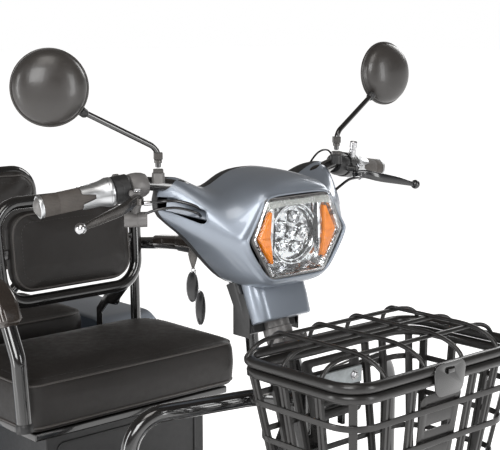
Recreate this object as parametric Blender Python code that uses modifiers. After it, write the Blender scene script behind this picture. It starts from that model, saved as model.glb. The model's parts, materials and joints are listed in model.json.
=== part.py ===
"""Leisure electric three-wheel scooter with a front seat, a rear bench and a lidded wire basket.

Metres, +Z up, the scooter faces -Y and its rider's left hand is at +X. The origin is on the ground,
under the centre of the scooter's box. One object is one real piece.
"""

import math

import bmesh
import bpy
from mathutils import Matrix, Vector

# Driving dimensions
TYRE_R = 0.190
FRONT_AXLE_Y = -0.650
REAR_AXLE_Y = 0.530
REAR_WHEEL_X = 0.300
FRONT_TYRE_HALF = 0.036
REAR_TYRE_HALF = 0.042
STEER_TILT = math.radians(22.0)
STEER_POINT = Vector((0.0, -0.392, 0.750))
FORK_LEG_X = 0.075
FORK_OFFSET = 0.0295
CROWN_DOWN = -0.310
GRIP_OUTER = Vector((0.380, -0.2645, 0.9807))
GRIP_INNER = Vector((0.232, -0.3065, 1.0037))
MIRROR_FOOT = Vector((0.200, -0.330, 1.033))
MIRROR_CENTRE = Vector((0.371, -0.300, 1.163))
MIRROR_R = 0.0585
LENS_Y = -0.439
FLOOR_TOP = 0.181
SEAT_FRONT = -0.019
SEAT_REAR = 0.300
SEAT_HALF = 0.257
SEAT_BOTTOM = 0.521
BACKREST_PIVOT = Vector((0.0, 0.268, 0.672))
ARM_X = 0.2735
ARM_PIVOT = Vector((0.0, 0.335, 0.768))
BASKET_REAR = -0.503
BASKET_DEEP = 0.252
BASKET_HALF = 0.195
BASKET_TOP = 0.758
BASKET_FLOOR = 0.525
BENCH_FRONT = 0.440
BENCH_REAR = 0.740
GAP = 0.0005

UP_AXIS = Vector((0.0, math.sin(STEER_TILT), math.cos(STEER_TILT)))
FORWARD_AXIS = Vector((0.0, -math.cos(STEER_TILT), math.sin(STEER_TILT)))

for old in list(bpy.data.objects):
    bpy.data.objects.remove(old, do_unlink=True)

PARTS = bpy.data.collections.new("leisure_scooter")
CUTTERS = bpy.data.collections.new("cutters")
bpy.context.scene.collection.children.link(PARTS)
bpy.context.scene.collection.children.link(CUTTERS)
CUTTERS.hide_render = True


# Materials
def material(name, colour, roughness, metallic=0.0, alpha=1.0):
    made = bpy.data.materials.new(name)
    made.use_nodes = True
    shader = made.node_tree.nodes["Principled BSDF"]
    shader.inputs["Base Color"].default_value = (*colour, 1.0)
    shader.inputs["Roughness"].default_value = roughness
    shader.inputs["Metallic"].default_value = metallic
    shader.inputs["Alpha"].default_value = alpha
    return made


BLACK_PAINT = material("black_paint", (0.012, 0.012, 0.013), 0.18, 0.2)
BODY_PAINT = material("body_paint", (0.30, 0.34, 0.40), 0.25, 0.8)
NAVY_PAINT = material("navy_paint", (0.02, 0.03, 0.05), 0.3, 0.3)
VINYL = material("vinyl", (0.075, 0.065, 0.06), 0.5)
RUBBER = material("rubber", (0.12, 0.105, 0.09), 0.7)
TYRE = material("tyre", (0.02, 0.02, 0.02), 0.85)
ALLOY = material("alloy", (0.55, 0.56, 0.57), 0.35, 1.0)
STEEL = material("steel", (0.45, 0.45, 0.46), 0.3, 1.0)
BLACK_PLASTIC = material("black_plastic", (0.02, 0.02, 0.021), 0.5)
GREY_PLASTIC = material("grey_plastic", (0.2, 0.2, 0.2), 0.45)
CLEAR = material("clear_lens", (0.9, 0.92, 0.93), 0.05, 0.0, 0.3)
CHROME = material("chrome", (0.8, 0.8, 0.82), 0.1, 1.0)
AMBER = material("amber_lens", (0.9, 0.3, 0.02), 0.15)
RED = material("red_lens", (0.5, 0.01, 0.01), 0.15)
MIRROR = material("mirror_glass", (0.8, 0.82, 0.84), 0.03, 1.0)
BRONZE = material("bronze_plastic", (0.10, 0.08, 0.065), 0.15)
BASKET_PAINT = material("basket_paint", (0.06, 0.06, 0.06), 0.35, 0.3)


# Modelling helpers
def add(name, data, mat=None, location=(0, 0, 0), rotation=None, helper=False):
    """An object in the parts collection, or in the cutters' as a helper that isn't rendered."""
    obj = bpy.data.objects.new(name, data)
    obj.location = location
    if rotation is not None:
        obj.rotation_euler = rotation
    if mat is not None:
        obj.data.materials.append(mat)
    if helper:
        obj.hide_render = True
        obj.display_type = "WIRE"
        CUTTERS.objects.link(obj)
    else:
        PARTS.objects.link(obj)
    return obj


def mesh_of(bm, name, smooth=True):
    bmesh.ops.recalc_face_normals(bm, faces=bm.faces)
    mesh = bpy.data.meshes.new(name)
    bm.to_mesh(mesh)
    bm.free()
    if smooth:
        mesh.shade_smooth()
        mesh.set_sharp_from_angle(angle=math.radians(35))
    return mesh


def bevel(obj, width, segments=2):
    made = obj.modifiers.new("edge_bevel", "BEVEL")
    made.width = width
    made.segments = segments
    made.limit_method = "ANGLE"
    made.angle_limit = math.radians(40)
    return obj


def box(name, low, high, mat=None, round_by=0.0, helper=False):
    """A box between two corners, with its origin at its centre."""
    low, high = Vector(low), Vector(high)
    bm = bmesh.new()
    bmesh.ops.create_cube(bm, size=1.0)
    bmesh.ops.scale(bm, vec=high - low, verts=bm.verts)
    obj = add(name, mesh_of(bm, name), mat, (low + high) / 2, helper=helper)
    if round_by:
        bevel(obj, round_by)
    return obj


def aim(direction, up=Vector((0, 0, 1))):
    """A rotation that takes +Z to direction."""
    direction = Vector(direction).normalized()
    if abs(direction.dot(up)) > 0.999:
        up = Vector((0, 1, 0))
    side = up.cross(direction).normalized()
    return Matrix((side, direction.cross(side), direction)).transposed()


def rod(name, start, end, radius, mat=None, sides=20, end_radius=None, helper=False):
    """A solid cylinder or cone between two points."""
    start, end = Vector(start), Vector(end)
    bm = bmesh.new()
    bmesh.ops.create_cone(
        bm,
        cap_ends=True,
        segments=sides,
        radius1=radius,
        radius2=radius if end_radius is None else end_radius,
        depth=(end - start).length,
    )
    spin = aim(end - start).to_euler()
    return add(name, mesh_of(bm, name), mat, (start + end) / 2, spin, helper)


def turned(name, profile, mat, location, direction, steps=28, helper=False):
    """A closed profile of (radius, height) turned about the local Z axis, which points along direction."""
    bm = bmesh.new()
    verts = [bm.verts.new((r, 0.0, h)) for r, h in profile]
    bm.verts.index_update()
    pairs = list(zip(verts, verts[1:]))
    if min(r for r, h in profile) > 1e-6:
        pairs.append((verts[-1], verts[0]))
    for a, b in pairs:
        bm.edges.new((a, b))
    mesh = bpy.data.meshes.new(name)
    bm.to_mesh(mesh)
    bm.free()
    obj = add(name, mesh, mat, location, aim(direction).to_euler(), helper)
    screw = obj.modifiers.new("turning", "SCREW")
    screw.axis = "Z"
    screw.steps = steps
    screw.render_steps = steps
    screw.use_merge_vertices = True
    screw.merge_threshold = 0.00005
    screw.use_smooth_shade = True
    return obj


def smooth_route(points, radius, steps=3):
    """The route with each inner corner turned into an arc of the given radius."""
    points = [Vector(p) for p in points]
    out = [points[0]]
    for before, corner, after in zip(points, points[1:], points[2:]):
        a = (before - corner).normalized()
        b = (after - corner).normalized()
        half = a.angle(b) / 2
        if half > math.radians(88):
            out.append(corner)
            continue
        room = 0.45 * min((before - corner).length, (after - corner).length)
        reach = min(radius / math.tan(half), room)
        start, end = corner + a * reach, corner + b * reach
        for i in range(steps + 1):
            t = i / steps
            out.append(start * (1 - t) ** 2 + corner * (2 * t * (1 - t)) + end * t**2)
    out.append(points[-1])
    return out


def tube(name, points, radius, mat=None, corner=0.04, cyclic=False, helper=False):
    """A round bar along a route with rounded corners."""
    points = [Vector(p) for p in points]
    if cyclic:
        ring = [(points[-1] + points[0]) / 2, *points, (points[-1] + points[0]) / 2]
        route = smooth_route(ring, corner)[:-1]
    else:
        route = smooth_route(points, corner)
    curve = bpy.data.curves.new(name, "CURVE")
    curve.dimensions = "3D"
    spline = curve.splines.new("POLY")
    spline.points.add(len(route) - 1)
    for point, place in zip(spline.points, route):
        point.co = (*place, 1.0)
    spline.use_cyclic_u = cyclic
    curve.bevel_depth = radius
    curve.bevel_resolution = 2
    curve.use_fill_caps = not cyclic
    return add(name, curve, mat, helper=helper)


def outline(name, points, thickness, mat, location, rotation, helper=False):
    """A flat closed outline in its local XY plane, extruded to a plate of the given thickness."""
    curve = bpy.data.curves.new(name, "CURVE")
    curve.dimensions = "2D"
    curve.fill_mode = "BOTH"
    spline = curve.splines.new("POLY")
    spline.points.add(len(points) - 1)
    for point, (x, y) in zip(spline.points, points):
        point.co = (x, y, 0.0, 1.0)
    spline.use_cyclic_u = True
    curve.extrude = thickness / 2
    return add(name, curve, mat, location, rotation, helper)


def as_mesh(obj):
    """The object as a plain welded mesh, for a Boolean to work on."""
    bpy.context.view_layer.update()
    graph = bpy.context.evaluated_depsgraph_get()
    mesh = bpy.data.meshes.new_from_object(obj.evaluated_get(graph))
    bm = bmesh.new()
    bm.from_mesh(mesh)
    bmesh.ops.remove_doubles(bm, verts=bm.verts, dist=0.00002)
    bmesh.ops.recalc_face_normals(bm, faces=bm.faces)
    bm.to_mesh(mesh)
    bm.free()
    name, place, helper = obj.name, obj.matrix_world.copy(), obj.hide_render
    bpy.data.objects.remove(obj, do_unlink=True)
    made = add(name, mesh, helper=helper)
    made.matrix_world = place
    return made


def combine(target, operation, others):
    """Boolean the others into the target, which becomes a mesh first where it is a curve."""
    if target.type != "MESH":
        target = as_mesh(target)
    for other in others:
        if other.type != "MESH":
            other = as_mesh(other)
        other.hide_render = True
        other.display_type = "WIRE"
        if other.name in PARTS.objects:
            PARTS.objects.unlink(other)
            CUTTERS.objects.link(other)
        step = target.modifiers.new(operation.lower(), "BOOLEAN")
        step.operation = operation
        step.object = other
    return target


def joined(target, *others):
    return combine(target, "UNION", others)


def cut(target, *others):
    return combine(target, "DIFFERENCE", others)


def loft(name, sections, mat=None, helper=False):
    """A closed solid through sections with the same number of points, capped at both ends."""
    bm = bmesh.new()
    rings = [[bm.verts.new(p) for p in section] for section in sections]
    for ring, after in zip(rings, rings[1:]):
        for i in range(len(ring)):
            j = (i + 1) % len(ring)
            bm.faces.new((ring[i], ring[j], after[j], after[i]))
    bm.faces.new(rings[0][::-1])
    bm.faces.new(rings[-1])
    return add(name, mesh_of(bm, name), mat, helper=helper)


def pivot(name, location, direction=(0, 0, 1)):
    """An empty on a joint's axis, which the moving pieces hang from."""
    made = bpy.data.objects.new(name, None)
    made.empty_display_size = 0.03
    made.location = location
    made.rotation_euler = aim(direction).to_euler()
    PARTS.objects.link(made)
    return made


def hang(parent, *pieces):
    """Parent the pieces to the empty without moving them."""
    bpy.context.view_layer.update()
    for piece in pieces:
        piece.parent = parent
        piece.matrix_parent_inverse = parent.matrix_world.inverted()


def rounded_plan(half_x, low_y, high_y, corner, z, count=3):
    """A rounded rectangle in the XY plane at height z."""
    points = []
    for cx, cy, start in (
        (half_x - corner, high_y - corner, 0),
        (-half_x + corner, high_y - corner, 90),
        (-half_x + corner, low_y + corner, 180),
        (half_x - corner, low_y + corner, 270),
    ):
        for i in range(count + 1):
            angle = math.radians(start + 90 * i / count)
            points.append((cx + corner * math.cos(angle), cy + corner * math.sin(angle), z))
    return points


def mirrored(point, side):
    return Vector((point[0] * side, point[1], point[2]))


def on_steerer(up, forward=0.0, x=0.0):
    """A point by its distance up the steering axis, forward of it and to the side."""
    return STEER_POINT + UP_AXIS * up + FORWARD_AXIS * forward + Vector((x, 0, 0))


# Frame
def make_frame():
    head = rod("head_bush", on_steerer(-0.235), on_steerer(-0.050), 0.026, sides=24, helper=True)
    down = tube(
        "main_frame",
        [
            on_steerer(-0.150, -0.010),
            (0, -0.400, 0.520),
            (0, -0.385, 0.1425),
            (0, 0.300, 0.1425),
        ],
        0.022,
        BLACK_PAINT,
        corner=0.09,
    )
    hoop_tab = box("hoop_tab", (-0.012, -0.4605, 0.650), (0.012, -0.425, 0.664), helper=True)
    basket_tab = box("basket_tab", (-0.022, -0.4925, 0.604), (0.022, -0.420, 0.638), helper=True)
    bore = rod("head_bore", on_steerer(-0.300), on_steerer(0.0), 0.0180, sides=24, helper=True)
    rails = [
        tube(
            f"frame_rail_{i}",
            [
                (0.0, -0.330, 0.1500),
                (side * 0.200, -0.230, 0.1500),
                (side * 0.200, 0.330, 0.1500),
                (side * 0.160, 0.430, 0.2850),
                (side * 0.160, 0.780, 0.2850),
            ],
            0.014,
            corner=0.06,
            helper=True,
        )
        for i, side in enumerate((-1, 1))
    ]
    frame = cut(joined(down, head, hoop_tab, basket_tab, *rails), bore)
    frame.data.materials.append(BLACK_PAINT)


def make_floor():
    pan = box("floor_pan", (-0.315, -0.415, 0.165), (0.315, 0.020, FLOOR_TOP), BLACK_PLASTIC)
    nose = box("floor_notch", (-0.035, -0.45, 0.10), (0.035, -0.285, 0.25), helper=True)
    bevel(pan, 0.005)
    cut(pan, nose)
    top = FLOOR_TOP + GAP
    tube(
        "leg_guard",
        [
            (-0.2985, -0.375, top),
            (-0.2985, -0.375, 0.657),
            (-0.075, -0.4235, 0.657),
            (-0.040, -0.475, 0.657),
            (0.040, -0.475, 0.657),
            (0.075, -0.4235, 0.657),
            (0.2985, -0.375, 0.657),
            (0.2985, -0.375, top),
        ],
        0.014,
        BLACK_PAINT,
        corner=0.060,
    )


def make_seat_box():
    low, high = (-0.190, 0.0305, FLOOR_TOP + GAP), (0.190, 0.300, 0.5040)
    shell = box("seat_box", low, high, BLACK_PLASTIC, 0.003)
    room = box("seat_box_room", (-0.185, 0.0355, FLOOR_TOP + 0.006), (0.185, 0.295, 0.52), helper=True)
    cut(shell, room)
    box("battery_pack", (-0.150, 0.060, FLOOR_TOP + 0.0065), (0.150, 0.270, 0.380), GREY_PLASTIC, 0.008)


# Seats
def cushion(name, low, high, crown, mat, corner=0.045):
    """A cushion with rounded plan corners, softened edges and a crowned top."""
    half_x = (high[0] - low[0]) / 2
    tall = high[2] - low[2]
    sections = [
        rounded_plan(half_x - inset, low[1] + inset, high[1] - inset, corner, low[2] + level * tall)
        for level, inset in ((0.0, 0.008), (0.35, 0.0), (0.80, 0.003), (0.97, 0.016))
    ]
    obj = loft(name, sections, mat)
    bm = bmesh.new()
    bm.from_mesh(obj.data)
    top = max(bm.faces, key=lambda f: f.calc_center_median().z)
    bmesh.ops.inset_region(bm, faces=[top], thickness=0.35 * (high[1] - low[1]) / 2, use_boundary=True)
    for vert in top.verts:
        vert.co.z += crown
    bm.to_mesh(obj.data)
    bm.free()
    return obj


def make_front_seat():
    seat_axis = pivot("seat_tilt_axis", (0, 0.008, 0.5125), (1, 0, 0))
    pan = box("seat_frame", (-0.230, 0.002, 0.5050), (0.230, 0.295, 0.5200), BLACK_PAINT)
    back_bar = tube(
        "seat_back_bar",
        [
            (-0.245, ARM_PIVOT.y, 0.792),
            (-0.245, 0.3300, 0.5300),
            (0.245, 0.3300, 0.5300),
            (0.245, ARM_PIVOT.y, 0.792),
        ],
        0.011,
        corner=0.03,
        helper=True,
    )
    tongues = [
        box(f"seat_tongue_{i}", (x - 0.02, 0.28, 0.5080), (x + 0.02, 0.332, 0.5200), helper=True)
        for i, x in enumerate((-0.12, 0.12))
    ]
    ears = []
    for i, side in enumerate((-1, 1)):
        ears.append(
            outline(
                f"backrest_ear_{i}",
                [
                    (0.322, 0.520),
                    (0.338, 0.520),
                    (0.338, 0.640),
                    (0.300, 0.684),
                    (0.262, 0.686),
                    (0.256, 0.668),
                    (0.264, 0.658),
                    (0.296, 0.656),
                    (0.322, 0.630),
                ],
                0.005,
                None,
                (side * 0.146, 0, 0),
                Matrix(((0, 0, 1), (1, 0, 0), (0, 1, 0))).to_euler(),
                helper=True,
            )
        )
    frame = joined(pan, back_bar, *tongues, *ears)
    seat = cushion(
        "seat_cushion",
        (-SEAT_HALF, SEAT_FRONT, SEAT_BOTTOM),
        (SEAT_HALF, SEAT_REAR, 0.616),
        0.018,
        VINYL,
        corner=0.06,
    )
    hang(seat_axis, frame, seat)
    return seat_axis


def make_front_backrest(seat_axis):
    axis = pivot("backrest_axis", BACKREST_PIVOT, (1, 0, 0))
    lean = math.radians(6)
    top, bottom = 0.9075, 0.7125

    def place(x, z):
        return (x, 0.212 + (z - bottom) * math.tan(lean), z)

    loop = tube(
        "backrest_frame",
        [place(0.160, bottom), place(0.170, top), place(-0.170, top), place(-0.160, bottom)],
        0.0125,
        BLACK_PAINT,
        corner=0.055,
        cyclic=True,
    )
    arms = []
    for i, side in enumerate((-1, 1)):
        arms.append(
            outline(
                f"backrest_arm_{i}",
                [(0.205, 0.716), (0.224, 0.722), (0.281, 0.680), (0.279, 0.664), (0.262, 0.662)],
                0.006,
                None,
                (side * 0.138, 0, 0),
                Matrix(((0, 0, 1), (1, 0, 0), (0, 1, 0))).to_euler(),
                helper=True,
            )
        )
    loop = joined(loop, *arms)
    middle = (top + bottom) / 2
    outlines = [
        [(x, deep, z) for x, z, _ in rounded_plan(0.1440 - inset, inset - 0.0820, 0.0820 - inset, 0.045, 0)]
        for deep, inset in ((-0.026, 0.020), (-0.018, 0.004), (-0.004, 0.0), (0.012, 0.004), (0.018, 0.020))
    ]
    pad = loft("backrest_cushion", outlines, VINYL)
    pad.location = place(0, middle)
    pad.rotation_euler = (-lean, 0, 0)
    hang(axis, loop, pad)
    hang(seat_axis, axis)


def make_armrests(seat_axis):
    for side, word in ((1, "left"), (-1, "right")):
        axis = pivot(f"{word}_armrest_axis", mirrored((ARM_X, ARM_PIVOT.y, ARM_PIVOT.z), side), (1, 0, 0))
        x = side * ARM_X
        arm = tube(
            f"{word}_armrest_tube",
            [
                (x, 0.352, 0.7660),
                (x, 0.200, 0.7860),
                (x, 0.050, 0.7880),
                (x, -0.012, 0.6700),
                (x, -0.026, 0.5450),
            ],
            0.014,
            BLACK_PAINT,
            corner=0.045,
        )
        pad = loft(
            f"{word}_armrest_pad",
            [
                [(x - w, y, low), (x + w, y, low), (x + w * 0.8, y, high), (x - w * 0.8, y, high)]
                for y, w, low, high in (
                    (0.026, 0.014, 0.8035, 0.8130),
                    (0.050, 0.022, 0.8040, 0.8200),
                    (0.150, 0.024, 0.8040, 0.8240),
                    (0.235, 0.022, 0.8040, 0.8200),
                    (0.255, 0.016, 0.8035, 0.8130),
                )
            ],
            BRONZE,
        )
        hang(axis, arm, pad)
        hang(seat_axis, axis)


def make_rear_seat():
    axis = pivot("bench_axis", (0, BENCH_REAR + 0.006, 0.5530), (1, 0, 0))
    bench = cushion(
        "rear_bench_cushion",
        (-0.205, BENCH_FRONT, 0.5480),
        (0.205, BENCH_REAR, 0.6150),
        0.008,
        VINYL,
    )
    hang(axis, bench)
    tube(
        "rear_backrest_frame",
        [
            (-0.200, 0.8275, 0.310),
            (-0.200, 0.8275, 0.560),
            (-0.290, 0.8275, 0.640),
            (-0.295, 0.8275, 0.8900),
            (0.295, 0.8275, 0.8900),
            (0.290, 0.8275, 0.640),
            (0.200, 0.8275, 0.560),
            (0.200, 0.8275, 0.310),
        ],
        0.0125,
        BLACK_PAINT,
        corner=0.06,
    )
    box("rear_backrest_cushion", (-0.272, 0.756, 0.650), (0.272, 0.8140, 0.8960), VINYL, 0.022)


# Rear body
def make_rear_body():
    shell = box("rear_body", (-0.212, 0.372, 0.3005), (0.212, 0.8140, 0.5475), NAVY_PAINT, 0.003)
    room = box("rear_body_room", (-0.207, 0.377, 0.3055), (0.207, 0.809, 0.5425), helper=True)
    hatch = box("rear_body_hatch", (-0.190, 0.452, 0.500), (0.190, 0.728, 0.560), helper=True)
    cut(shell, room, hatch)
    side_view = [
        (0.345, 0.300),
        (0.345, 0.430),
        (0.395, 0.560),
        (0.430, 0.585),
        (0.700, 0.585),
        (0.765, 0.560),
        (0.800, 0.480),
        (0.800, 0.300),
    ]
    inside_view = [
        (0.350, 0.250),
        (0.350, 0.429),
        (0.399, 0.556),
        (0.432, 0.580),
        (0.698, 0.580),
        (0.761, 0.556),
        (0.795, 0.479),
        (0.795, 0.250),
    ]
    for side, word in ((1, "left"), (-1, "right")):

        def slab(view, near, far):
            return [[(side * x, y, z) for y, z in view] for x in (near, far)]

        panel = loft(f"{word}_rear_fender", slab(side_view, 0.2125, 0.372), BODY_PAINT)
        room = loft(f"{word}_fender_room", slab(inside_view, 0.2000, 0.367), helper=True)
        arch = rod(
            f"{word}_wheel_arch",
            (side * 0.34, REAR_AXLE_Y, TYRE_R),
            (side * 0.40, REAR_AXLE_Y, TYRE_R),
            0.222,
            sides=40,
            helper=True,
        )
        cut(panel, room, arch)
        box(
            f"{word}_tail_light",
            (side * 0.285 - 0.040, 0.8005, 0.400),
            (side * 0.285 + 0.040, 0.8200, 0.455),
            RED,
            0.005,
        )


# Wheels
def tyre_profile(half, outer, rim):
    """Half-closed ring profile, outer side running from top to bottom."""
    shoulder = outer - 0.014
    return [
        (rim, half * 0.72),
        (rim + 0.020, half * 0.98),
        (shoulder - 0.012, half),
        (shoulder + 0.004, half * 0.86),
        (outer - 0.003, half * 0.52),
        (outer, half * 0.15),
        (outer, -half * 0.15),
        (outer - 0.003, -half * 0.52),
        (shoulder + 0.004, -half * 0.86),
        (shoulder - 0.012, -half),
        (rim + 0.020, -half * 0.98),
        (rim, -half * 0.72),
    ]


def rim_profile(half, outer, bore):
    return [
        (bore, half * 0.70),
        (0.034, half * 0.70),
        (0.038, half * 0.20),
        (outer - 0.016, half * 0.16),
        (outer - 0.011, half * 0.70),
        (outer, half * 0.70),
        (outer, -half * 0.70),
        (outer - 0.011, -half * 0.70),
        (outer - 0.016, -half * 0.16),
        (0.038, -half * 0.20),
        (0.034, -half * 0.70),
        (bore, -half * 0.70),
    ]


def make_wheel(word, x, y, half, parent=None):
    axis = pivot(f"{word}_wheel_axis", (x, y, TYRE_R), (1, 0, 0))
    rim_r = 0.118
    tyre = turned(f"{word}_tyre", tyre_profile(half, TYRE_R, rim_r), TYRE, (x, y, TYRE_R), (1, 0, 0), 28)
    profile = rim_profile(half, rim_r - GAP, 0.0085)
    rim = turned(f"{word}_rim", profile, ALLOY, (x, y, TYRE_R), (1, 0, 0), 28)
    holes = []
    for i in range(5):
        angle = math.radians(90 + 72 * i)
        centre = Vector((x, y + 0.070 * math.cos(angle), TYRE_R + 0.070 * math.sin(angle)))
        start, end = centre - Vector((0.1, 0, 0)), centre + Vector((0.1, 0, 0))
        holes.append(rod(f"{word}_rim_hole_{i}", start, end, 0.021, sides=10, helper=True))
    rim = cut(as_mesh(rim), *holes)
    rim.data.materials.clear()
    rim.data.materials.append(ALLOY)
    hang(axis, tyre, rim)
    if parent:
        hang(parent, axis)
    return axis


def make_rear_axle():
    y, z = REAR_AXLE_Y, TYRE_R
    housing = rod("rear_axle_housing", (-0.245, y, z), (0.245, y, z), 0.020, BLACK_PAINT, 24)
    spindle = rod("axle_spindle", (-0.336, y, z), (0.336, y, z), 0.0078, sides=16, helper=True)
    drive = rod("drive_case", (-0.055, y, z), (0.055, y, z), 0.066, sides=28, helper=True)
    motor = rod("motor_can", (0.050, y, z), (0.130, y, z), 0.052, sides=28, helper=True)
    plates = []
    for i, x in enumerate((-0.160, 0.160)):
        low, high = (x - 0.004, y - 0.035, z - 0.030), (x + 0.004, y + 0.035, 0.2705)
        plates.append(box(f"axle_plate_{i}", low, high, helper=True))
    joined(housing, spindle, drive, motor, *plates)


# Steering
def make_fork(steer_axis):
    crown_low, crown_high = CROWN_DOWN - 0.010, CROWN_DOWN + 0.010
    steerer = rod("fork_yoke", on_steerer(crown_low), on_steerer(0.018), 0.0165, STEEL, 20)
    crown = box("fork_crown", (-0.097, -0.022, -0.010), (0.097, 0.050, 0.010), helper=True)
    crown.location = on_steerer(CROWN_DOWN, 0.014)
    crown.rotation_euler = (-STEER_TILT, 0, 0)
    bevel(crown, 0.004)
    legs = [
        rod(
            f"stanchion_{i}",
            on_steerer(-0.480, FORK_OFFSET, x),
            on_steerer(crown_low + 0.005, FORK_OFFSET, x),
            0.0125,
            sides=16,
            helper=True,
        )
        for i, x in enumerate((-FORK_LEG_X, FORK_LEG_X))
    ]
    yoke = joined(steerer, crown, *legs)
    hang(steer_axis, yoke)

    slide = pivot("fork_slide_axis", on_steerer(-0.616, FORK_OFFSET), UP_AXIS)
    start, end = (-0.092, FRONT_AXLE_Y, TYRE_R), (0.092, FRONT_AXLE_Y, TYRE_R)
    axle = rod("fork_lowers", start, end, 0.0078, STEEL, 16)
    sliders, bores = [], []
    for i, x in enumerate((-FORK_LEG_X, FORK_LEG_X)):
        low, high = on_steerer(-0.640, FORK_OFFSET, x), on_steerer(-0.400, FORK_OFFSET, x)
        sliders.append(rod(f"slider_{i}", low, high, 0.0190, sides=20, helper=True))
        bottom = on_steerer(-0.540, FORK_OFFSET, x)
        bores.append(rod(f"slider_bore_{i}", bottom, high + UP_AXIS * 0.02, 0.0133, sides=16, helper=True))
    lowers = cut(joined(axle, *sliders), *bores)

    inner, outer = 0.2030, 0.2070
    start, end, count = math.radians(48), math.radians(168), 14
    arc = [start + (end - start) * i / count for i in range(count + 1)]
    band = [(-outer * math.cos(a), outer * math.sin(a)) for a in arc]
    band += [(-inner * math.cos(a), inner * math.sin(a)) for a in reversed(arc)]
    fender = outline(
        "front_fender",
        band,
        0.094,
        BODY_PAINT,
        (0, FRONT_AXLE_Y, TYRE_R),
        Matrix(((0, 0, 1), (1, 0, 0), (0, 1, 0))).to_euler(),
    )
    stays = [
        box(
            f"fender_stay_{i}",
            (side * 0.0510 - 0.0045, FRONT_AXLE_Y + 0.062, 0.335),
            (side * 0.0510 + 0.0045, FRONT_AXLE_Y + 0.092, 0.372),
            helper=True,
        )
        for i, side in enumerate((-1, 1))
    ]
    fender = joined(fender, *stays)
    fender.data.materials.clear()
    fender.data.materials.append(BODY_PAINT)
    hang(slide, lowers, fender)
    hang(steer_axis, slide)
    return slide


def cowl_rib(x, shrink=0.0):
    """One fore-and-aft section of the cowl at x: its points run round from the front top edge."""
    u = abs(x)

    def along(*table):
        for (a, va), (b, vb) in zip(table, table[1:]):
            if u <= b:
                t = (u - a) / (b - a)
                return va + (vb - va) * t
        return table[-1][1]

    front = along((0, -0.446), (0.090, -0.446), (0.112, -0.436), (0.135, -0.385), (0.178, -0.338))
    face_top = along((0, 0.998), (0.072, 0.996), (0.112, 0.936), (0.135, 0.985), (0.178, 0.995))
    face_low = along((0, 0.858), (0.060, 0.858), (0.112, 0.918), (0.135, 0.930), (0.178, 0.972))
    top = along((0, 1.028), (0.060, 1.021), (0.100, 1.001), (0.140, 1.016), (0.178, 1.020))
    low = along((0, 0.838), (0.070, 0.840), (0.090, 0.848), (0.117, 0.886), (0.147, 0.932), (0.178, 0.953))
    rear = along((0, -0.285), (0.100, -0.285), (0.178, -0.275))
    s, deep, tall = shrink, rear - front, top - low
    return [
        (x, front + s, face_top - s),
        (x, front + 0.20 * deep + s * 0.5, top - 0.05 * tall - s),
        (x, front + 0.50 * deep, top - s),
        (x, front + 0.86 * deep - s * 0.5, top - 0.06 * tall - s),
        (x, rear - s, top - 0.22 * tall - s * 0.5),
        (x, rear - 0.03 * deep - s, low + 0.25 * tall + s * 0.5),
        (x, front + 0.74 * deep - s * 0.5, low + 0.05 * tall + s),
        (x, front + 0.42 * deep, low + s),
        (x, front + 0.12 * deep + s * 0.5, low + 0.04 * tall + s),
        (x, front + s, face_low + s),
    ]


def make_cowl(steer_axis):
    stations = (-0.178, -0.147, -0.112, -0.090, -0.060, 0.0, 0.060, 0.090, 0.112, 0.147, 0.178)
    split_y = -0.318
    pieces = []
    for name, mat in (("cowl_shell", BODY_PAINT), ("cowl_rear_cover", BLACK_PLASTIC)):
        shell = loft(name, [cowl_rib(x) for x in stations], mat)
        inner = [x * 0.984 for x in stations]
        room = loft(f"{name}_room", [cowl_rib(x, 0.0035) for x in inner], helper=True)
        if name == "cowl_shell":
            away = box(f"{name}_trim", (-0.3, split_y, 0.7), (0.3, -0.1, 1.2), helper=True)
            lens_hole = lens_prism("cowl_lens_hole", 0.0030, -0.52, -0.40, helper=True)
            extra = [lens_hole]
        else:
            away = box(f"{name}_trim", (-0.3, -0.6, 0.7), (0.3, split_y + GAP, 1.2), helper=True)
            extra = []
        post = rod(f"{name}_post_hole", on_steerer(0.02), on_steerer(0.14), 0.024, sides=20, helper=True)
        arms = [
            rod(
                f"{name}_arm_hole_{i}",
                mirrored((0.150, -0.3260, 0.9980), side),
                mirrored((0.225, -0.3095, 1.0099), side),
                0.0150,
                sides=16,
                helper=True,
            )
            for i, side in enumerate((-1, 1))
        ]
        shell = cut(shell, room, away, post, *arms, *extra)
        for step in shell.modifiers:
            step.solver = "MANIFOLD"
        pieces.append(shell)
    hang(steer_axis, *pieces)


def lens_prism(name, margin, front, back, mat=None, helper=False):
    """The headlight's six-sided outline as a prism, from front to back along Y."""
    points = [
        (-0.071 - margin * 0.8, 0.989 + margin),
        (0.071 + margin * 0.8, 0.989 + margin),
        (0.100 + margin * 1.2, 0.927),
        (0.058 + margin * 0.8, 0.868 - margin),
        (-0.058 - margin * 0.8, 0.868 - margin),
        (-0.100 - margin * 1.2, 0.927),
    ]
    return loft(name, [[(x, y, z) for x, z in points] for y in (front, back)], mat, helper)


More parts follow.
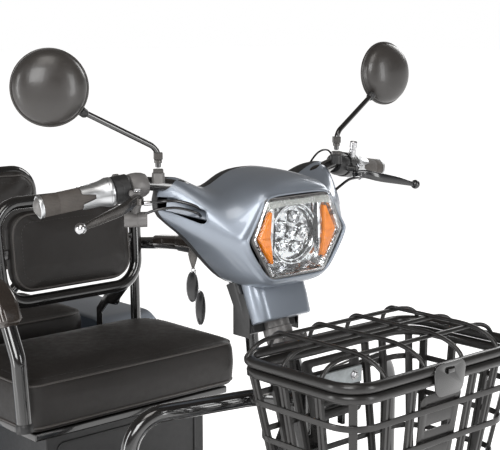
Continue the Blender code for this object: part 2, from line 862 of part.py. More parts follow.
def make_headlight(steer_axis):
    lens = lens_prism("headlight_lens", 0.0, LENS_Y - 0.0115, LENS_Y - 0.0075, CLEAR)
    reflector = lens_prism("headlight_reflector", -0.004, LENS_Y - 0.0070, LENS_Y + 0.030, CHROME)
    bowl = turned(
        "reflector_bowl",
        [(0.0, 0.022), (0.030, 0.022), (0.046, -0.020), (0.0, -0.020)],
        None,
        (0, LENS_Y + 0.006, 0.927),
        (0, 1, 0),
        24,
        helper=True,
    )
    corners = []
    hollow = []
    for i, side in enumerate((-1, 1)):
        wedge = [(side * 0.060, 0.975), (side * 0.0935, 0.927), (side * 0.055, 0.881)]
        room = [(side * 0.0585, 0.978), (side * 0.0957, 0.927), (side * 0.0535, 0.878)]
        front = LENS_Y - 0.0070
        room_rings = [[(x, y, z) for x, z in room] for y in (front - 0.01, front + 0.014)]
        hollow.append(loft(f"corner_room_{i}", room_rings, helper=True))
        word = "right" if side < 0 else "left"
        wedge_rings = [[(x, y, z) for x, z in wedge] for y in (front + 0.0002, front + 0.0135)]
        corners.append(loft(f"{word}_indicator", wedge_rings, AMBER))
    reflector = cut(reflector, as_mesh(bowl), *hollow)
    hang(steer_axis, lens, reflector, *corners)


def make_neck(steer_axis):
    sections = []
    for up, half, ahead, behind in (
        (0.018, 0.050, 0.030, 0.038),
        (0.030, 0.056, 0.034, 0.040),
        (0.060, 0.059, 0.036, 0.042),
        (0.080, 0.059, 0.034, 0.042),
    ):
        corners = [(-half, -behind), (-half, ahead * 0.5), (-half * 0.8, ahead)]
        corners += [(-x, y) for x, y in reversed(corners)]
        sections.append([on_steerer(up, f, x) for x, f in corners])
    neck = loft("neck_cover", sections, BODY_PAINT)
    hole = rod("neck_hole", on_steerer(-0.02), on_steerer(0.14), 0.0280, sides=20, helper=True)
    neck = cut(neck, hole)
    ring = rod("stem_collar", on_steerer(-0.045), on_steerer(0.055), 0.0240, GREY_PLASTIC, 24)
    lug = box("collar_lug", (-0.034, -0.014, -0.012), (0.034, 0.014, 0.012), helper=True)
    lug.location = on_steerer(-0.020, 0.022)
    lug.rotation_euler = (-STEER_TILT, 0, 0)
    bore = rod("collar_bore", on_steerer(-0.07), on_steerer(0.08), 0.0170, sides=24, helper=True)
    collar = cut(joined(ring, lug), bore)
    hang(steer_axis, neck, collar)


def bar_point(distance, side):
    """A point on the straight outer bar, by its distance in from the bar's end."""
    inward = (GRIP_INNER - GRIP_OUTER).normalized()
    return mirrored(GRIP_OUTER + inward * distance, side)


def make_handlebar(steer_axis):
    route = [bar_point(-0.002, 1), bar_point(0.180, 1)]
    route += [(0.150, -0.326, 0.998), (0.100, -0.330, 0.972), (0.045, -0.316, 0.944)]
    route = [Vector(p) for p in route]
    bar = tube(
        "handlebar",
        route + [mirrored(p, -1) for p in reversed(route)],
        0.011,
        BLACK_PAINT,
        corner=0.04,
    )
    post = rod("handlebar_post", on_steerer(0.0185), on_steerer(0.206), 0.0165, sides=20, helper=True)
    bar = joined(bar, post)
    hang(steer_axis, bar)

    for side, word in ((1, "left"), (-1, "right")):
        inward = (bar_point(0.1, side) - bar_point(0.0, side)).normalized()
        grip_name = "left_grip" if side > 0 else "throttle_grip"
        grip = turned(
            grip_name,
            [
                (0.0116, 0.120),
                (0.0195, 0.120),
                (0.0195, 0.112),
                (0.0170, 0.108),
                (0.0170, 0.020),
                (0.0175, 0.004),
                (0.0150, 0.000),
                (0.0116, 0.000),
            ],
            RUBBER,
            bar_point(0.0, side),
            inward,
            24,
        )
        start, end = bar_point(0.1225, side), bar_point(0.165, side)
        housing = rod(f"{word}_switch_housing", start, end, 0.0225, BLACK_PLASTIC, 20)
        ear_low = bar_point(0.138, side) + Vector((0, -0.034, -0.004))
        ear = box(f"{word}_lever_ear", (-0.016, -0.016, -0.0055), (0.016, 0.022, 0.0055), helper=True)
        ear.location = ear_low
        foot = mirrored(MIRROR_FOOT, side)
        boss = rod(
            f"{word}_mirror_boss",
            foot - Vector((0, 0, 0.0175)),
            foot - Vector((0, 0, 0.0075)),
            0.0090,
            sides=16,
            helper=True,
        )
        shelf = box(f"{word}_mirror_shelf", (-0.0155, -0.010, -0.004), (0.0155, 0.010, 0.004), helper=True)
        shelf.location = foot + Vector((side * 0.0065, 0, -0.0135))
        start, end = bar_point(0.160, side), bar_point(0.178, side)
        perch = rod(f"{word}_perch", start, end, 0.0170, sides=20, helper=True)
        start, end = bar_point(0.100, side), bar_point(0.220, side)
        bore = rod(f"{word}_housing_bore", start, end, 0.0116, sides=20, helper=True)
        housing = cut(joined(housing, perch, ear, shelf, boss), bore)
        hang(steer_axis, housing)
        make_lever(steer_axis, side, word, ear_low)
        make_mirror(steer_axis, side, word)
        if side < 0:
            throttle = pivot("throttle_axis", bar_point(0.0, side), inward)
            hang(throttle, grip)
            hang(steer_axis, throttle)
        else:
            hang(steer_axis, grip)


def make_lever(steer_axis, side, word, ear):
    """A brake lever that pivots just under its ear and reaches out in front of the grip."""
    hinge = ear + Vector((0, -0.004, -0.0105))
    axis = pivot(f"{word}_lever_axis", hinge, (0, 0, 1))
    tip = Vector((side * 0.373, -0.367, 0.960))
    route = [
        hinge + Vector((-side * 0.012, 0.004, 0)),
        hinge + Vector((side * 0.012, -0.003, 0)),
        hinge.lerp(tip, 0.35) + Vector((0, -0.004, 0.002)),
        hinge.lerp(tip, 0.70) + Vector((0, -0.002, 0.001)),
        hinge.lerp(tip, 0.93),
        hinge.lerp(tip, 0.96),
        tip,
        tip + (tip - hinge).normalized() * 0.007,
    ]
    curve = bpy.data.curves.new(f"{word}_brake_lever", "CURVE")
    curve.dimensions = "3D"
    spline = curve.splines.new("POLY")
    spline.points.add(len(route) - 1)
    sizes = (0.9, 1.0, 0.95, 0.85, 0.75, 1.2, 1.6, 0.7)
    for point, place, size in zip(spline.points, route, sizes):
        point.co = (*place, 1.0)
        point.radius = size
    curve.bevel_depth = 0.0048
    curve.bevel_resolution = 2
    curve.use_fill_caps = True
    lever = add(f"{word}_brake_lever", curve, BLACK_PAINT)
    hang(axis, lever)
    hang(steer_axis, axis)


def make_mirror(steer_axis, side, word):
    foot = mirrored(MIRROR_FOOT, side)
    centre = mirrored(MIRROR_CENTRE, side) - Vector((0.0051, 0, 0))
    swivel = pivot(f"{word}_mirror_swivel_axis", foot, (0, 0, 1))
    yaw = math.radians(28 if side < 0 else 4)
    face_back = Vector((-math.sin(yaw), -math.cos(yaw), 0.06)).normalized()
    joint = centre - face_back * 0.004 + (foot - centre).normalized() * (MIRROR_R + 0.004)
    stem = tube(
        f"{word}_mirror_stem",
        [
            foot - Vector((0, 0, 0.0070)),
            foot + Vector((side * 0.004, 0, 0.030)),
            joint.lerp(foot, 0.10) + Vector((0, 0, 0.004)),
            joint,
        ],
        0.0050,
        BLACK_PAINT,
        corner=0.020,
    )
    start, end = foot - Vector((0, 0, 0.0070)), foot + Vector((0, 0, 0.0060))
    nut = rod(f"{word}_mirror_nut", start, end, 0.0085, sides=6, helper=True)
    stem = joined(stem, nut)
    head_axis = pivot(f"{word}_mirror_tilt_axis", centre, (math.cos(yaw), -math.sin(yaw), 0))
    head = turned(
        f"{word}_mirror_head",
        [
            (0.0, 0.0215),
            (0.022, 0.0195),
            (0.040, 0.0125),
            (0.052, 0.0035),
            (MIRROR_R, -0.0060),
            (MIRROR_R, -0.0110),
            (MIRROR_R - 0.0030, -0.0110),
            (MIRROR_R - 0.0035, -0.0080),
            (0.0, -0.0080),
        ],
        BLACK_PLASTIC,
        centre,
        face_back,
        24,
    )
    glass = turned(
        f"{word}_mirror_glass",
        [(0.0, -0.0083), (MIRROR_R - 0.0040, -0.0083), (MIRROR_R - 0.0040, -0.0105), (0.0, -0.0105)],
        MIRROR,
        centre,
        face_back,
        24,
    )
    hang(swivel, stem)
    hang(head_axis, head, glass)
    hang(swivel, head_axis)
    hang(steer_axis, swivel)


def make_controls(steer_axis):
    away = Vector((-0.80, 0.60, 0.0)).normalized()
    middle = Vector((-0.239, -0.322, 0.954))
    socket = rod("accessory_socket", middle + away * 0.018, middle - away * 0.018, 0.0120, GREY_PLASTIC, 20)
    hole = rod("socket_hole", middle + away * 0.020, middle + away * 0.004, 0.0085, sides=16, helper=True)
    strap = box("socket_strap", (-0.006, -0.006, 0.0), (0.006, 0.006, 0.0280), helper=True)
    strap.location = middle
    socket = cut(joined(socket, strap), hole)
    hang(steer_axis, socket)

    key_axis = pivot("ignition_key_axis", (-0.070, -0.281, 0.905), (0, 1, 0))
    key = box("ignition_key", (-0.0715, -0.2745, 0.8940), (-0.0685, -0.2530, 0.9160), STEEL, 0.0005)
    hang(key_axis, key)
    hang(steer_axis, key_axis)
    ring_axis = pivot("key_fob_axis", (-0.070, -0.2560, 0.892), (1, 0, 0))
    fobs = outline(
        "key_fobs",
        [(-0.001, 0.0), (0.001, 0.0), (0.006, -0.018), (0.008, -0.030), (0.002, -0.045), (0.007, -0.060),
         (0.008, -0.080), (0.003, -0.094), (0.007, -0.108), (0.008, -0.135), (0.0, -0.150), (-0.008, -0.135),
         (-0.007, -0.108), (-0.003, -0.094), (-0.008, -0.080), (-0.007, -0.060), (-0.002, -0.045),
         (-0.008, -0.030), (-0.006, -0.018)],
        0.004,
        STEEL,
        (-0.070, -0.2560, 0.8930),
        (math.radians(90), 0, math.radians(40)),
    )
    hang(ring_axis, fobs)
    hang(steer_axis, ring_axis)

    button_axis = pivot("horn_button_axis", bar_point(0.144, 1), (0, 1, 0))
    place = bar_point(0.144, 1) + Vector((0, 0.0275, 0.0))
    button = rod("horn_button", place, place + Vector((0, 0.0060, 0)), 0.0060, GREY_PLASTIC, 14)
    hang(button_axis, button)
    hang(steer_axis, button_axis)


def make_pedal():
    axis = pivot("brake_pedal_axis", (-0.110, -0.318, 0.196), (1, 0, 0))
    pedal = rod("brake_pedal", (-0.140, -0.318, 0.196), (-0.080, -0.318, 0.196), 0.0070, BLACK_PAINT, 16)
    arm = box("pedal_arm", (-0.116, -0.322, 0.194), (-0.104, -0.314, 0.290), helper=True)
    pad = box("pedal_pad", (-0.145, -0.326, 0.262), (-0.075, -0.310, 0.320), helper=True)
    bevel(pad, 0.004)
    hang(axis, joined(pedal, arm, pad))


# Basket
def make_basket():
    front = BASKET_REAR - BASKET_DEEP

    def plan(z, inset=0.0, corner=0.045):
        share = (BASKET_TOP - z) / (BASKET_TOP - BASKET_FLOOR)
        half = BASKET_HALF - 0.038 * share - inset
        low = front + 0.032 * share + inset
        high = BASKET_REAR - 0.042 * share - inset
        return rounded_plan(half, low, high, max(corner - inset, 0.01), z, 4)

    shell = loft("basket", [plan(BASKET_FLOOR), plan(BASKET_TOP)], BASKET_PAINT)
    room_rings = [plan(BASKET_FLOOR + 0.005, 0.0055), plan(BASKET_TOP + 0.01, 0.0055)]
    room = loft("basket_room", room_rings, helper=True)
    cut(shell, room)
    axis = pivot("basket_lid_axis", (0, BASKET_REAR - 0.002, BASKET_TOP + 0.001), (1, 0, 0))
    lid = loft(
        "basket_lid",
        [
            plan(BASKET_TOP + 0.0010, 0.002),
            plan(BASKET_TOP + 0.0070, 0.002),
            plan(BASKET_TOP + 0.0340, 0.034),
            plan(BASKET_TOP + 0.0430, 0.070),
        ],
        BASKET_PAINT,
    )
    under = loft(
        "basket_lid_room",
        [
            plan(BASKET_TOP - 0.0100, 0.010),
            plan(BASKET_TOP + 0.0040, 0.010),
            plan(BASKET_TOP + 0.0300, 0.038),
            plan(BASKET_TOP + 0.0385, 0.074),
        ],
        helper=True,
    )
    hang(axis, cut(lid, under))
    slope = 0.042 / (BASKET_TOP - BASKET_FLOOR)

    def wall(z):
        return BASKET_REAR - slope * (BASKET_TOP - z) + GAP

    outline(
        "basket_bracket",
        [
            (wall(0.700), 0.700),
            (-0.4932, 0.700),
            (-0.4932, 0.620),
            (-0.5050, 0.600),
            (wall(0.600), 0.600),
        ],
        0.100,
        BLACK_PAINT,
        (0, 0, 0),
        Matrix(((0, 0, 1), (1, 0, 0), (0, 1, 0))).to_euler(),
    )


make_frame()
make_floor()
make_seat_box()
seat_pivot = make_front_seat()
make_front_backrest(seat_pivot)
make_armrests(seat_pivot)
make_rear_seat()
make_rear_body()
make_rear_axle()
steering_pivot = pivot("steering_axis", STEER_POINT, UP_AXIS)
fork_pivot = make_fork(steering_pivot)
make_wheel("front", 0.0, FRONT_AXLE_Y, FRONT_TYRE_HALF, fork_pivot)
make_wheel("left_rear", REAR_WHEEL_X, REAR_AXLE_Y, REAR_TYRE_HALF)
make_wheel("right_rear", -REAR_WHEEL_X, REAR_AXLE_Y, REAR_TYRE_HALF)
make_cowl(steering_pivot)
make_headlight(steering_pivot)
make_neck(steering_pivot)
make_handlebar(steering_pivot)
make_controls(steering_pivot)
make_pedal()
make_basket()
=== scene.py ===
"""Looks of the leisure scooter: detailed pieces, materials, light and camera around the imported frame.

Metres, +Z up, the scooter faces -Y. Places come from the frame's boxes and joints. Each piece keeps its
points in the scene's own space, so that a material's pattern has the same scale on all of them.
"""

import json
import math

import bmesh
import bpy
import numpy as np
from mathutils import Matrix, Vector, noise
from mathutils.bvhtree import BVHTree


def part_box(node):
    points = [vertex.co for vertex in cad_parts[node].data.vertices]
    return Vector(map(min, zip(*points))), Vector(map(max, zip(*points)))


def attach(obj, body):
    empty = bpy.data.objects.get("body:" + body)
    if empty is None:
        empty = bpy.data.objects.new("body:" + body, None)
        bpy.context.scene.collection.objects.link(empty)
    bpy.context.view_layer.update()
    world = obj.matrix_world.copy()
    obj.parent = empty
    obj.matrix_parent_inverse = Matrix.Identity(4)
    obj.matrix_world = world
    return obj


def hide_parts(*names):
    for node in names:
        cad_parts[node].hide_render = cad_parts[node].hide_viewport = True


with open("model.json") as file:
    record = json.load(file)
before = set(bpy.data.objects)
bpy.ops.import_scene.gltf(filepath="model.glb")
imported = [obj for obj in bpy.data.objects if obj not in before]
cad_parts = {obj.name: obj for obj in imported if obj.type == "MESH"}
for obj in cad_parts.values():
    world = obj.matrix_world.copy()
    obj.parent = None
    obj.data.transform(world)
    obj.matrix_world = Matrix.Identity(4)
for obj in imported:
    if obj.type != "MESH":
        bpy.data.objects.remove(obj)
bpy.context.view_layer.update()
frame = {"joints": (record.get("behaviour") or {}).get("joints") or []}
SCENE = bpy.context.scene
JOINTS = {joint["name"]: joint for joint in frame["joints"]}
X_AXIS, Y_AXIS, Z_AXIS = Vector((1, 0, 0)), Vector((0, 1, 0)), Vector((0, 0, 1))


def rad(degrees):
    return math.radians(degrees)


def joint_at(name):
    return Vector(JOINTS[name]["pos_m"])


def joint_axis(name):
    return Vector(JOINTS[name]["axis"]).normalized()


# Camera
CAMERA_PLACE = Vector((-1.400, -1.875, 1.263))
CAMERA_DOWN, CAMERA_TURN, CAMERA_LENS, SENSOR = 9.34, -42.05, 90.3, 36.0

eye = bpy.data.cameras.new("camera")
eye.lens = CAMERA_LENS
eye.sensor_width = SENSOR
eye.clip_end = 60
camera = bpy.data.objects.new("camera", eye)
camera.location = CAMERA_PLACE
camera.rotation_euler = (rad(90 - CAMERA_DOWN), 0, rad(CAMERA_TURN))
SCENE.collection.objects.link(camera)
SCENE.camera = camera


# Light
def area_light(name, place, target, size, power, colour=(1, 1, 1)):
    data = bpy.data.lights.new(name, "AREA")
    data.shape = "RECTANGLE"
    data.size, data.size_y = size
    data.energy = power
    data.color = colour
    made = bpy.data.objects.new(name, data)
    made.location = place
    made.rotation_euler = (Vector(target) - Vector(place)).to_track_quat("-Z", "Y").to_euler()
    SCENE.collection.objects.link(made)


MIDDLE = Vector((0, -0.15, 0.65))
area_light("key", (-2.6, -2.2, 2.6), MIDDLE, (1.6, 1.6), 70)
area_light("front_strip", (0.6, -3.4, 1.5), MIDDLE, (0.7, 2.2), 36)
area_light("side_strip", (-3.2, 0.6, 1.3), MIDDLE, (0.6, 2.4), 40)
area_light("rim", (2.9, 0.4, 2.3), MIDDLE, (1.2, 1.2), 26)
area_light("top", (-0.9, -1.2, 3.2), MIDDLE, (1.2, 1.2), 16, (1.0, 0.97, 0.93))


def make_sky():
    """A studio surround: white at eye level, warmer and darker overhead."""
    world = bpy.data.worlds.new("studio")
    world.use_nodes = True
    nodes, links = world.node_tree.nodes, world.node_tree.links
    coords = nodes.new("ShaderNodeTexCoord")
    split = nodes.new("ShaderNodeSeparateXYZ")
    ramp = nodes.new("ShaderNodeValToRGB")
    links.new(coords.outputs["Generated"], split.inputs[0])
    links.new(split.outputs["Z"], ramp.inputs["Fac"])
    links.new(ramp.outputs["Color"], nodes["Background"].inputs["Color"])
    stops = ramp.color_ramp.elements
    stops[0].position, stops[0].color = 0.0, (1.0, 1.0, 1.0, 1)
    stops[1].position, stops[1].color = 1.0, (0.12, 0.11, 0.10, 1)
    for place, colour in ((0.04, (1.0, 1.0, 1.0, 1)), (0.12, (0.17, 0.165, 0.16, 1))):
        stop = stops.new(place)
        stop.color = colour
    nodes["Background"].inputs["Strength"].default_value = 1.0
    SCENE.world = world


make_sky()
SCENE.view_settings.view_transform = "Standard"


# Materials
LOOKS = {}


class Tree:
    """A short way to add and link shader nodes."""

    def __init__(self, name):
        self.material = bpy.data.materials.new(name)
        self.material.use_nodes = True
        self.tree = self.material.node_tree
        self.shader = self.tree.nodes["Principled BSDF"]
        self.place = self.node("ShaderNodeTexCoord").outputs["Object"]

    def node(self, kind, **values):
        made = self.tree.nodes.new(kind)
        for key, value in values.items():
            setattr(made, key, value)
        return made

    def link(self, source, target):
        self.tree.links.new(source, target)
        return target

    def set(self, name, value):
        self.shader.inputs[name].default_value = value

    def noise(self, scale, detail=3.0, roughness=0.5, stretch=None):
        made = self.node("ShaderNodeTexNoise")
        made.inputs["Scale"].default_value = scale
        made.inputs["Detail"].default_value = detail
        made.inputs["Roughness"].default_value = roughness
        self.link(self.stretched(stretch), made.inputs["Vector"])
        return made.outputs["Fac"]

    def cells(self, scale, feature="F1", stretch=None, output="Distance"):
        made = self.node("ShaderNodeTexVoronoi", feature=feature)
        made.inputs["Scale"].default_value = scale
        self.link(self.stretched(stretch), made.inputs["Vector"])
        return made.outputs[output]

    def stretched(self, stretch):
        if stretch is None:
            return self.place
        made = self.node("ShaderNodeMapping")
        made.inputs["Scale"].default_value = stretch
        self.link(self.place, made.inputs["Vector"])
        return made.outputs[0]

    def between(self, value, low, high, start=0.35, end=0.65):
        """The value mapped from start..end to low..high."""
        made = self.node("ShaderNodeMapRange")
        self.link(value, made.inputs["Value"])
        made.inputs["From Min"].default_value = start
        made.inputs["From Max"].default_value = end
        made.inputs["To Min"].default_value = low
        made.inputs["To Max"].default_value = high
        return made.outputs["Result"]

    def colours(self, value, *stops):
        made = self.node("ShaderNodeValToRGB")
        self.link(value, made.inputs["Fac"])
        ramp = made.color_ramp.elements
        ramp[0].position, ramp[0].color = stops[0][0], (*stops[0][1], 1)
        ramp[1].position, ramp[1].color = stops[-1][0], (*stops[-1][1], 1)
        for place, colour in stops[1:-1]:
            ramp.new(place).color = (*colour, 1)
        return made.outputs["Color"]

    def bump(self, height, strength, distance, after=None):
        made = self.node("ShaderNodeBump")
        made.inputs["Strength"].default_value = strength
        made.inputs["Distance"].default_value = distance
        self.link(height, made.inputs["Height"])
        if after is not None:
            self.link(after, made.inputs["Normal"])
        return made.outputs["Normal"]


def shade(colour, factor):
    return tuple(min(1.0, c * factor) for c in colour)


def surface(name, slot, colour, roughness, metallic=0.0, coat=0.0, vary=0.18, patch=9.0, grain=(), **sockets):
    """A material whose colour and roughness drift in patches.

    grain lists its bumps as (pattern, scale, strength, depth).
    """
    tree = Tree(name)
    drift = tree.noise(patch, 4.0)
    tree.link(
        tree.colours(drift, (0.30, shade(colour, 1 - vary)), (0.70, shade(colour, 1 + vary))),
        tree.shader.inputs["Base Color"],
    )
    fine = tree.noise(patch * 6.0, 5.0, 0.6)
    tree.link(tree.between(fine, roughness * 0.88, roughness * 1.14), tree.shader.inputs["Roughness"])
    tree.set("Metallic", metallic)
    tree.set("Coat Weight", coat)
    tree.set("Coat Roughness", 0.04)
    for key, value in sockets.items():
        tree.set(key.replace("_", " ").title().replace("Ior", "IOR"), value)
    normal = None
    for kind, scale, strength, depth in grain:
        if kind == "pebble":
            height = tree.cells(scale, "SMOOTH_F1")
        elif kind == "cells":
            height = tree.cells(scale, "DISTANCE_TO_EDGE")
        elif kind == "brushed":
            height = tree.noise(scale, 2.0, 0.5, (1.0, 0.04, 0.04))
        else:
            height = tree.noise(scale, 3.0, 0.55)
        normal = tree.bump(height, strength, depth, normal)
    if normal is not None:
        tree.link(normal, tree.shader.inputs["Normal"])
    LOOKS[name] = tree.material
    return tree


def make_materials():
    peel = (("soft", 420.0, 0.06, 0.0004),)
    surface("black_paint", "black_paint", (0.0075, 0.0072, 0.0072), 0.17, 0.0, 1.0, 0.25, 7.0, peel)
    paint = surface("body_paint", "body_paint", (0.235, 0.265, 0.310), 0.40, 0.62, 0.55, 0.05, 5.0, peel)
    flakes = paint.cells(2600.0, output="Color")
    split = paint.node("ShaderNodeSeparateColor")
    paint.link(flakes, split.inputs[0])
    paint.link(paint.between(split.outputs[0], 0.34, 0.46, 0.0, 1.0), paint.shader.inputs["Roughness"])
    surface("navy_panel", "navy_panel", (0.010, 0.016, 0.028), 0.30, 0.1, 0.6, 0.2, 8.0, peel)
    vinyl_grain = (("cells", 620.0, 0.22, 0.0006), ("soft", 55.0, 0.10, 0.0020))
    surface(
        "vinyl", "vinyl", (0.0135, 0.0115, 0.0105), 0.48, 0.0, 0.0, 0.16, 11.0, vinyl_grain,
        specular_ior_level=0.40
    )
    surface(
        "stitch", "vinyl", (0.030, 0.028, 0.027), 0.6, 0.0, 0.0, 0.2, 300.0,
        (("soft", 2500.0, 0.5, 0.0004),)
    )
    surface("grip_rubber", "grip_rubber", (0.060, 0.052, 0.046), 0.62, 0.0, 0.0, 0.14, 60.0,
            (("pebble", 900.0, 0.25, 0.0005),))
    surface("tyre_rubber", "tyre_rubber", (0.016, 0.0155, 0.015), 0.78, 0.0, 0.0, 0.22, 24.0,
            (("soft", 700.0, 0.35, 0.0006),))
    surface(
        "alloy", "alloy", (0.52, 0.53, 0.54), 0.34, 0.95, 0.15, 0.05, 30.0,
        (("pebble", 800.0, 0.12, 0.0004),)
    )
    surface(
        "steel", "steel", (0.50, 0.50, 0.51), 0.24, 1.0, 0.0, 0.06, 40.0,
        (("brushed", 500.0, 0.08, 0.0003),)
    )
    surface(
        "galvanised", "steel", (0.40, 0.43, 0.44), 0.38, 0.85, 0.0, 0.16, 90.0,
        (("cells", 160.0, 0.06, 0.0004),)
    )
    surface("black_plastic", "black_plastic", (0.013, 0.013, 0.0135), 0.44, 0.0, 0.0, 0.18, 20.0,
            (("pebble", 1100.0, 0.22, 0.0004),))
    surface("gloss_black", "black_plastic", (0.008, 0.008, 0.009), 0.16, 0.0, 0.4, 0.2, 20.0, peel)
    # A near-black matte sheet that paints shade where only shade falls: at the back of pockets, behind the
    # lamp and in its slots.
    surface(
        "void", "black_plastic", (0.003, 0.003, 0.003), 0.9, 0.0, 0.0, 0.3, 20.0,
        (("soft", 300.0, 0.1, 0.0004),)
    )
    surface("grey_plastic", "grey_plastic", (0.135, 0.13, 0.127), 0.40, 0.15, 0.0, 0.10, 24.0,
            (("pebble", 900.0, 0.15, 0.0004),))
    surface("mirror_shell", "mirror_shell", (0.030, 0.027, 0.025), 0.34, 0.0, 0.15, 0.12, 12.0, peel)
    surface("bronze_plastic", "bronze_plastic", (0.038, 0.030, 0.025), 0.20, 0.35, 0.6, 0.14, 10.0, peel)
    surface("basket_paint", "basket_paint", (0.013, 0.012, 0.0115), 0.34, 0.2, 0.20, 0.14, 30.0,
            (("soft", 900.0, 0.12, 0.0004),))
    mirror = surface(
        "reflector", "reflector", (0.80, 0.80, 0.81), 0.10, 1.0, 0.0, 0.05, 60.0,
        (("cells", 150.0, 0.30, 0.0012),)
    )
    # The reflector's base colour is painted cell by cell from dull grey to near white: painted glints and
    # reflections on its facets.
    glint_facets = mirror.node("ShaderNodeSeparateColor")
    mirror.link(mirror.cells(150.0, output="Color"), glint_facets.inputs[0])
    painted_facet_glints = mirror.colours(
        glint_facets.outputs[0], (0.20, (0.42, 0.42, 0.43)), (0.50, (0.84, 0.84, 0.85)),
        (0.80, (0.96, 0.96, 0.96))
    )
    mirror.link(painted_facet_glints, mirror.shader.inputs["Base Color"])
    surface("mirror_glass", "mirror_glass", (0.84, 0.85, 0.86), 0.02, 1.0, 0.0, 0.02, 10.0)
    # The faint orange emission is a painted glow, standing in for light caught in the indicator lens.
    surface("amber_lens", "amber_lens", (0.66, 0.18, 0.001), 0.14, 0.0, 0.6, 0.10, 60.0,
            (("cells", 260.0, 0.35, 0.0008),), transmission_weight=0.25, ior=1.49,
            emission_color=(1.0, 0.30, 0.0, 1), emission_strength=0.04)
    surface("red_lens", "red_lens", (0.50, 0.006, 0.006), 0.12, 0.0, 0.6, 0.12, 60.0,
            (("cells", 260.0, 0.3, 0.0008),), transmission_weight=0.2, ior=1.49)
    surface("clear_lens", "clear_lens", (0.97, 0.98, 0.985), 0.02, 0.0, 0.0, 0.01, 10.0, (),
            transmission_weight=1.0, ior=1.2)
    surface("visor_lens", "clear_lens", (0.42, 0.43, 0.41), 0.25, 0.0, 0.2, 0.10, 60.0,
            (("soft", 240.0, 0.15, 0.0005),), transmission_weight=0.55, ior=1.35)
    surface("display", "black_plastic", (0.020, 0.035, 0.045), 0.10, 0.0, 0.8, 0.2, 30.0, peel)


make_materials()


# Shaping tools
def piece(name, verts, faces, smooth=35):
    mesh = bpy.data.meshes.new(name)
    mesh.from_pydata([tuple(v) for v in verts], [], [tuple(f) for f in faces])
    bm = bmesh.new()
    bm.from_mesh(mesh)
    bmesh.ops.recalc_face_normals(bm, faces=bm.faces)
    bm.to_mesh(mesh)
    bm.free()
    mesh.shade_smooth()
    mesh.set_sharp_from_angle(angle=rad(smooth))
    obj = bpy.data.objects.new(name, mesh)
    SCENE.collection.objects.link(obj)
    return obj


def settle(obj, smooth=35):
    """The object's evaluated mesh in the scene's space, with its modifiers applied."""
    bpy.context.view_layer.update()
    mesh = bpy.data.meshes.new_from_object(obj.evaluated_get(bpy.context.evaluated_depsgraph_get()))
    mesh.transform(obj.matrix_world)
    obj.modifiers.clear()
    obj.data = mesh
    obj.matrix_world = Matrix.Identity(4)
    mesh.shade_smooth()
    mesh.set_sharp_from_angle(angle=rad(smooth))
    return obj


def soften(obj, width, segments=3, angle=30, smooth=35):
    made = obj.modifiers.new("soft_edges", "BEVEL")
    made.width = width
    made.segments = segments
    made.limit_method = "ANGLE"
    made.angle_limit = rad(angle)
    return settle(obj, smooth)


def subdivide(obj, levels=2, smooth=50):
    made = obj.modifiers.new("subdivision", "SUBSURF")
    made.levels = made.render_levels = levels
    return settle(obj, smooth)


def boolean(obj, cutter, operation="DIFFERENCE", smooth=35):
    made = obj.modifiers.new("boolean", "BOOLEAN")
    made.operation = operation
    made.object = cutter
    settle(obj, smooth)
    bpy.data.objects.remove(cutter)
    return obj


def merge(name, parts, smooth=35):
    """One object of several, each a closed shape of its own."""
    bm = bmesh.new()
    for part in parts:
        settle(part)
        bm.from_mesh(part.data)
        bpy.data.objects.remove(part)
    mesh = bpy.data.meshes.new(name)
    bm.to_mesh(mesh)
    bm.free()
    mesh.shade_smooth()
    mesh.set_sharp_from_angle(angle=rad(smooth))
    obj = bpy.data.objects.new(name, mesh)
    SCENE.collection.objects.link(obj)
    return obj


def own(obj, body, look, *nodes):
    """Gives the piece its material, its body and the CAD nodes that it stands for."""
    obj.data.materials.clear()
    obj.data.materials.append(LOOKS[look])
    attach(obj, body)
    if nodes:
        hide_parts(*nodes)
    return obj


def circle(radius, count=28, squeeze=1.0):
    return [
        (radius * math.cos(2 * math.pi * i / count), radius * squeeze * math.sin(2 * math.pi * i / count))
        for i in range(count)
    ]


def rounded(points, radius, steps=4):
    """A closed outline or, in space, an open path, with its corners turned into arcs."""
    points = [Vector(p) for p in points]
    flat = len(points[0]) == 2
    ring = [points[-1], *points, points[0]] if flat else points
    out = [] if flat else [points[0]]
    for before, corner, after in zip(ring, ring[1:], ring[2:]):
        back, ahead = before - corner, after - corner
        half = back.angle(ahead) / 2
        if half > rad(88):
            out.append(corner)
            continue
        reach = min(radius / math.tan(half), 0.48 * back.length, 0.48 * ahead.length)
        bend = reach * math.tan(half)
        middle = corner + (back.normalized() + ahead.normalized()).normalized() * (bend / math.sin(half))
        first = corner + back.normalized() * reach - middle
        last = corner + ahead.normalized() * reach - middle
        turn = first.angle(last)
        for i in range(steps + 1):
            t = i / steps
            out.append(
                middle + (first * math.sin((1 - t) * turn) + last * math.sin(t * turn)) / math.sin(turn)
            )
    if not flat:
        out.append(points[-1])
    return out


def loop_path(points, radius, steps=8):
    """A closed path in space with rounded corners."""
    points = [Vector(p) for p in points]
    middle = (points[-1] + points[0]) / 2
    return rounded([middle, *points, middle], radius, steps)[:-1]


def curve_path(points, count=24):
    """A smooth path through the points."""
    points = [Vector(p) for p in points]
    points = [2 * points[0] - points[1], *points, 2 * points[-1] - points[-2]]
    out = []
    spans = len(points) - 3
    for i in range(count + 1):
        place = i / count * spans
        k = min(int(place), spans - 1)
        t = place - k
        a, b, c, d = points[k : k + 4]
        out.append(
            0.5 * (2 * b + (c - a) * t + (2 * a - 5 * b + 4 * c - d) * t**2 + (3 * b - a - 3 * c + d) * t**3)
        )
    return out


def bar_section(width, height, corner, steps=3):
    w, h = width / 2, height / 2
    return [tuple(p) for p in rounded([(w, h), (-w, h), (-w, -h), (w, -h)], corner, steps)]


